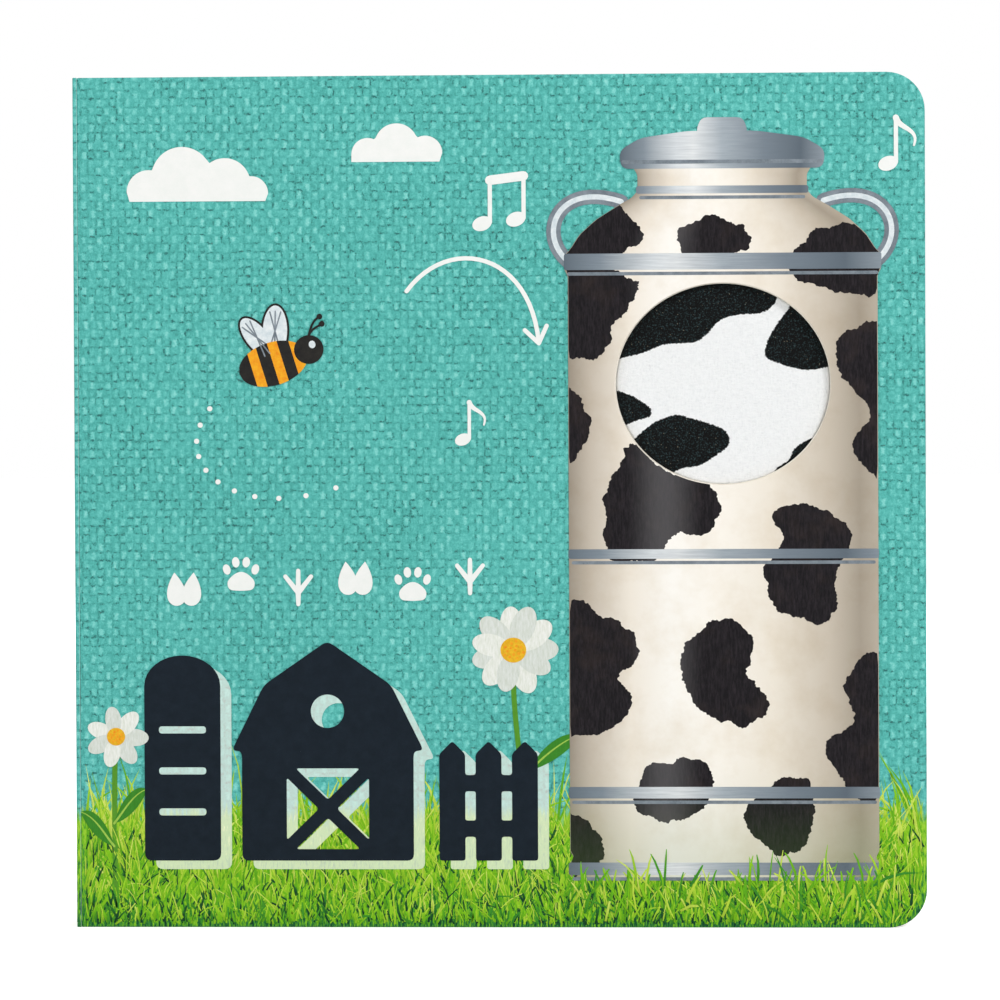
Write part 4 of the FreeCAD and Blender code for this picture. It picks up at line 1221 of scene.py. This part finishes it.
def make_leaves():
    """Five stiff leaves, glued at the gutter. The first holds the felt's nest."""
    build = Build()
    front, back = LEAVES_LOW[1], LEAVES_HIGH[1]
    thick = (back - front - LEAF_GAP * (LEAF_COUNT - 1)) / LEAF_COUNT
    long, short = (half + NEST_GROWTH for half in halves(PATCH_LOW, PATCH_HIGH))

    def nest(inset):
        return window_oval(long - inset, short - inset)

    for number in range(LEAF_COUNT):
        near = front + number * (thick + LEAF_GAP)
        far = near + thick
        profile = [
            (near, 0.22, 0), (near + 0.06, 0.06, 0), (near + 0.2, 0.0, 0),
            (far - 0.2, 0.0, 0), (far - 0.06, 0.06, 0), (far, 0.22, 0)]
        hollow = [(near, -0.12, 0), (near + 0.15, 0.0, 0), (near + NEST_DEPTH, 0.0, 0)]
        backs = build.slab((page, profile), [(nest, hollow)] if number == 0 else [], 1)
        build.cap(backs[:1], 1, front=False)
        for floor in backs[1:]:
            build.cap([floor[::-1]], 0)
    glue = bar(
        COVER_LOW[0] + (GUTTER + 0.25) / 2, (GUTTER - 0.25) / 2,
        COVER_LOW[2] + 0.3, COVER_HIGH[2] - 0.3, 0.2)
    for number in range(LEAF_COUNT - 1):
        near = front + number * (thick + LEAF_GAP) + thick - 0.05
        build.plate([glue], near, near + LEAF_GAP + 0.1, 0)
    made = build.piece("leaves", "pages", "leaf_board", [EDGE, INSIDE], smooth=40)
    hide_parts("page_block")


def make_back_cover():
    """The outer back board, with the opening for the sound module."""
    front, back = BACK_LOW[1], BACK_HIGH[1]
    face = back - BACK_PRINT_DEPTH
    build = Build()

    def opening(inset):
        return corner_box(
            MODULE_LOW[0] - MODULE_GAP, MODULE_HIGH[0] + MODULE_GAP, MODULE_LOW[2] - MODULE_GAP,
            MODULE_HIGH[2] + MODULE_GAP, MODULE_CORNER, MODULE_CORNER, inset)

    profile = [
        (front, 0.0, 1), (face - 0.28, 0.0, 0), (face - 0.16, 0.03, 0), (face - 0.05, 0.12, 0),
        (face, 0.26, 0)]
    hole = [(front, 0.0, 1), (face - 0.2, 0.0, 1), (face, -0.18, 1)]
    build.cap(build.slab((page, profile), [(opening, hole)], 1), 0, front=False)
    materials = [board_print("back_cloth_print"), EDGE]
    made = build.piece("back_cover", "back_cover", "back_print", materials, smooth=40)
    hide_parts("back_cover_board")
    back_picture(face).piece("back_cover_inks", "back_cover", "back_print", INKS.values())


# the soft pieces

FELT_STEPS = 120            # rings of points from the felt's centre to its edge
FELT_AROUND = 240
FELT_CROWN = 0.873          # share of its width that the crown fills, just inside the window
FELT_FALL = 0.006           # share over which it falls to the shelf
FELT_FUZZ = 0.045           # how far the fibres lift the surface
FELT_THICK = 0.8            # of its margin, which is glued behind the cover
FELT_BEVEL = 0.2            # round its back edge
FOAM_WAIST = 0.35           # how hollow the foam's side is


def make_felt():
    """The felt patch: a thin oval that rises to a crown inside the window."""
    long, short = halves(PATCH_LOW, PATCH_HIGH)
    crown, foot = PATCH_LOW[1] + FELT_FUZZ, PATCH_HIGH[1]
    shelf = foot - FELT_THICK + FELT_FUZZ
    build = Build()
    reach = edge_reach([flowing(points, 40) for points in FELT_PATCHES])
    front = []
    for step in range(1, FELT_STEPS + 1):
        share = step / FELT_STEPS
        fall = min(1.0, max(0.0, (share - FELT_CROWN) / FELT_FALL))
        depth = crown + (shelf - crown) * fall * fall * (3 - 2 * fall)
        ring = []
        for x, z in window_oval(long * share, short * share, FELT_AROUND):
            fuzz = noise.noise(Vector((x * 2.3, z * 2.3, 4.0)))
            fuzz += 0.7 * noise.noise(Vector((x * 5.1, z * 5.1, 9.0)))
            place = min(max(depth + FELT_FUZZ * 0.8 * fuzz, PATCH_LOW[1]), foot - 0.1)
            edge = min(1.0, max(0.0, 0.5 + reach(x - WINDOW_X, z - WINDOW_Z) / FELT_EDGE))
            ring += build.ring([(x, z)], place, (edge, edge, edge, 1.0))
        front.append(ring)
    middle = build.ring([(WINDOW_X, WINDOW_Z)], crown)[0]
    build.fan(middle, front[0], 0)
    front.append(build.ring(window_oval(long, short, FELT_AROUND), foot - 0.15))
    front.append(build.ring(window_oval(long - FELT_BEVEL, short - FELT_BEVEL, FELT_AROUND), foot))
    for inner, outer in zip(front, front[1:]):
        build.wall(inner, outer, 0)
    build.cap(front[-1:], 0, front=False)
    made = build.piece("felt_patch_cloth", "patch", "felt", [felt_material()], smooth=60)
    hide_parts("felt_patch")
    2 * long * MM
    2 * short * MM
    math.pi * long * short * MM * MM


def make_foam():
    """The foam pad under the felt, with a slightly hollow side."""
    long, short = halves(FOAM_LOW, FOAM_HIGH)
    near, far = FOAM_LOW[1], FOAM_HIGH[1]
    build = Build()

    def outline(inset):
        return window_oval(long - inset, short - inset)

    profile = []
    for share in (k / 8 for k in range(9)):
        hollow = FOAM_WAIST * math.sin(math.pi * share) + 0.12 * abs(2 * share - 1) ** 8
        profile.append((near + (far - near) * share, hollow, 0))
    build.cap(build.slab((outline, profile), [], 0), 0, front=False)
    cells = fibrous("foam_cells", "E3E1D6", "B9B6A8", 2.4)
    made = build.piece("foam_cushion", "pages", "foam", [cells], smooth=60)
    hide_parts("foam_pad")
    centre = (WINDOW_X * MM, far * MM, WINDOW_Z * MM)
    1 - PATCH_TRAVEL / (far - near)
    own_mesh(made)


# finishes of the CAD pieces that show as they are

def finish_nodes():
    plastic = moulded("module_plastic", "E9E9E5", "DCDCD6")
    cell = metal("cell_steel", "D9DBDD", "B9BCC0", 0.22)
    contact = metal("contact_strip", "CFC9B4", "A9A28C", 0.35)
    finishes = {
        "module_housing": plastic, "module_lid": plastic, "battery_door": plastic,
        "back_liner": hill_print("liner_print"),
        "core_frame": board_edge("grey_board", "A79F92", "8A8175"),
        "circuit_board": laminate("circuit_laminate"),
        "chip_blob": fibrous("resin_drop", "0C0C0D", "1B1B1D", 1.2, 0.25),
        "speaker_frame": metal("speaker_basket", "B4B7BA", "8E9296", 0.4),
        "speaker_cone": fibrous("cone_pulp", "17181A", "2B2D30", 3.0),
        "speaker_magnet": metal("magnet_plate", "9EA1A5", "7A7E83", 0.45),
        "button_cell_1": cell, "button_cell_2": cell, "button_cell_3": cell,
        "cell_contacts": contact, "door_contacts": contact,
        "door_screw": metal("screw_steel", "B9BCC0", "7E8287", 0.3),
        "membrane_switch": film("switch_film"),
        "switch_key": moulded("key_plastic", "D6D6D0", "C4C4BD"),
    }
    for name, material in finishes.items():
        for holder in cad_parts[name].material_slots:
            holder.material = material


# the stage

CAMERA_PLACE = (0.0691, -1.2, 0.11277)
CAMERA_YAW, CAMERA_TILT, CAMERA_ROLL = 0.05776, -0.01966, -0.00451
CAMERA_LENS = 205.53
SKY_LIGHT = 0.58
FLOOR_GLOW = 0.56
FLOOR_HALF = 6.0


def make_camera():
    data = bpy.data.cameras.new("camera")
    data.sensor_width, data.lens = 36.0, CAMERA_LENS
    data.clip_start, data.clip_end = 0.05, 20.0
    camera = add_object("camera", data)
    turn = Matrix.Rotation(CAMERA_YAW, 4, "Z") @ Matrix.Rotation(math.pi / 2 + CAMERA_TILT, 4, "X")
    turn = turn @ Matrix.Rotation(CAMERA_ROLL, 4, "Z")
    camera.matrix_world = Matrix.Translation(CAMERA_PLACE) @ turn
    bpy.context.scene.camera = camera


def make_lamp(name, place, power, size):
    """A soft square lamp that looks at the middle of the book."""
    data = bpy.data.lights.new(name, "AREA")
    data.energy, data.size = power, size
    lamp = add_object(name, data)
    lamp.location = place
    aim = Vector((0.0, 0.0, 0.09)) - Vector(place)
    lamp.rotation_euler = aim.to_track_quat("-Z", "Y").to_euler()


def make_world():
    """A white room: full white to look at, and weaker as a light."""
    world = bpy.data.worlds.new("white_room")
    bpy.context.scene.world = world
    world.use_nodes = True
    world.node_tree.nodes.clear()
    tree = Tree(world.node_tree)
    lit, seen = (
        tree.out("ShaderNodeBackground", {"Color": PLAIN, "Strength": strength})
        for strength in (SKY_LIGHT, 1.0))
    both = tree.out("ShaderNodeMixShader", {0: tree.seen(), 1: lit, 2: seen})
    tree.node("ShaderNodeOutputWorld", {0: both})


def make_floor():
    """A wide white floor, which glows a little for the camera and keeps the book's shadow."""
    g = Graph("white_floor", 0.9, 0.1)
    g.set(Base_Color=(0.9, 0.9, 0.9, 1.0), Emission_Color=PLAIN, Emission_Strength=g.seen() * FLOOR_GLOW)
    mesh = bpy.data.meshes.new("floor")
    corners = [(-1, -1), (1, -1), (1, 1), (-1, 1)]
    mesh.from_pydata([(FLOOR_HALF * x, FLOOR_HALF * y, 0) for x, y in corners], [], [(0, 1, 2, 3)])
    mesh.materials.append(g.material)
    add_object("floor", mesh)


make_camera()
make_lamp("key_lamp", (0.95, -1.25, 1.05), 12.0, 0.45)
make_lamp("fill_lamp", (-1.1, -1.3, 0.5), 5.0, 0.9)
make_lamp("back_lamp", (0.2, 1.6, 0.9), 9.0, 1.0)
make_world()
make_floor()
make_front_cover()
make_spine()
make_leaves()
make_back_cover()
make_foam()
make_felt()
finish_nodes()

view = bpy.context.scene.view_settings
view.view_transform = "Standard"
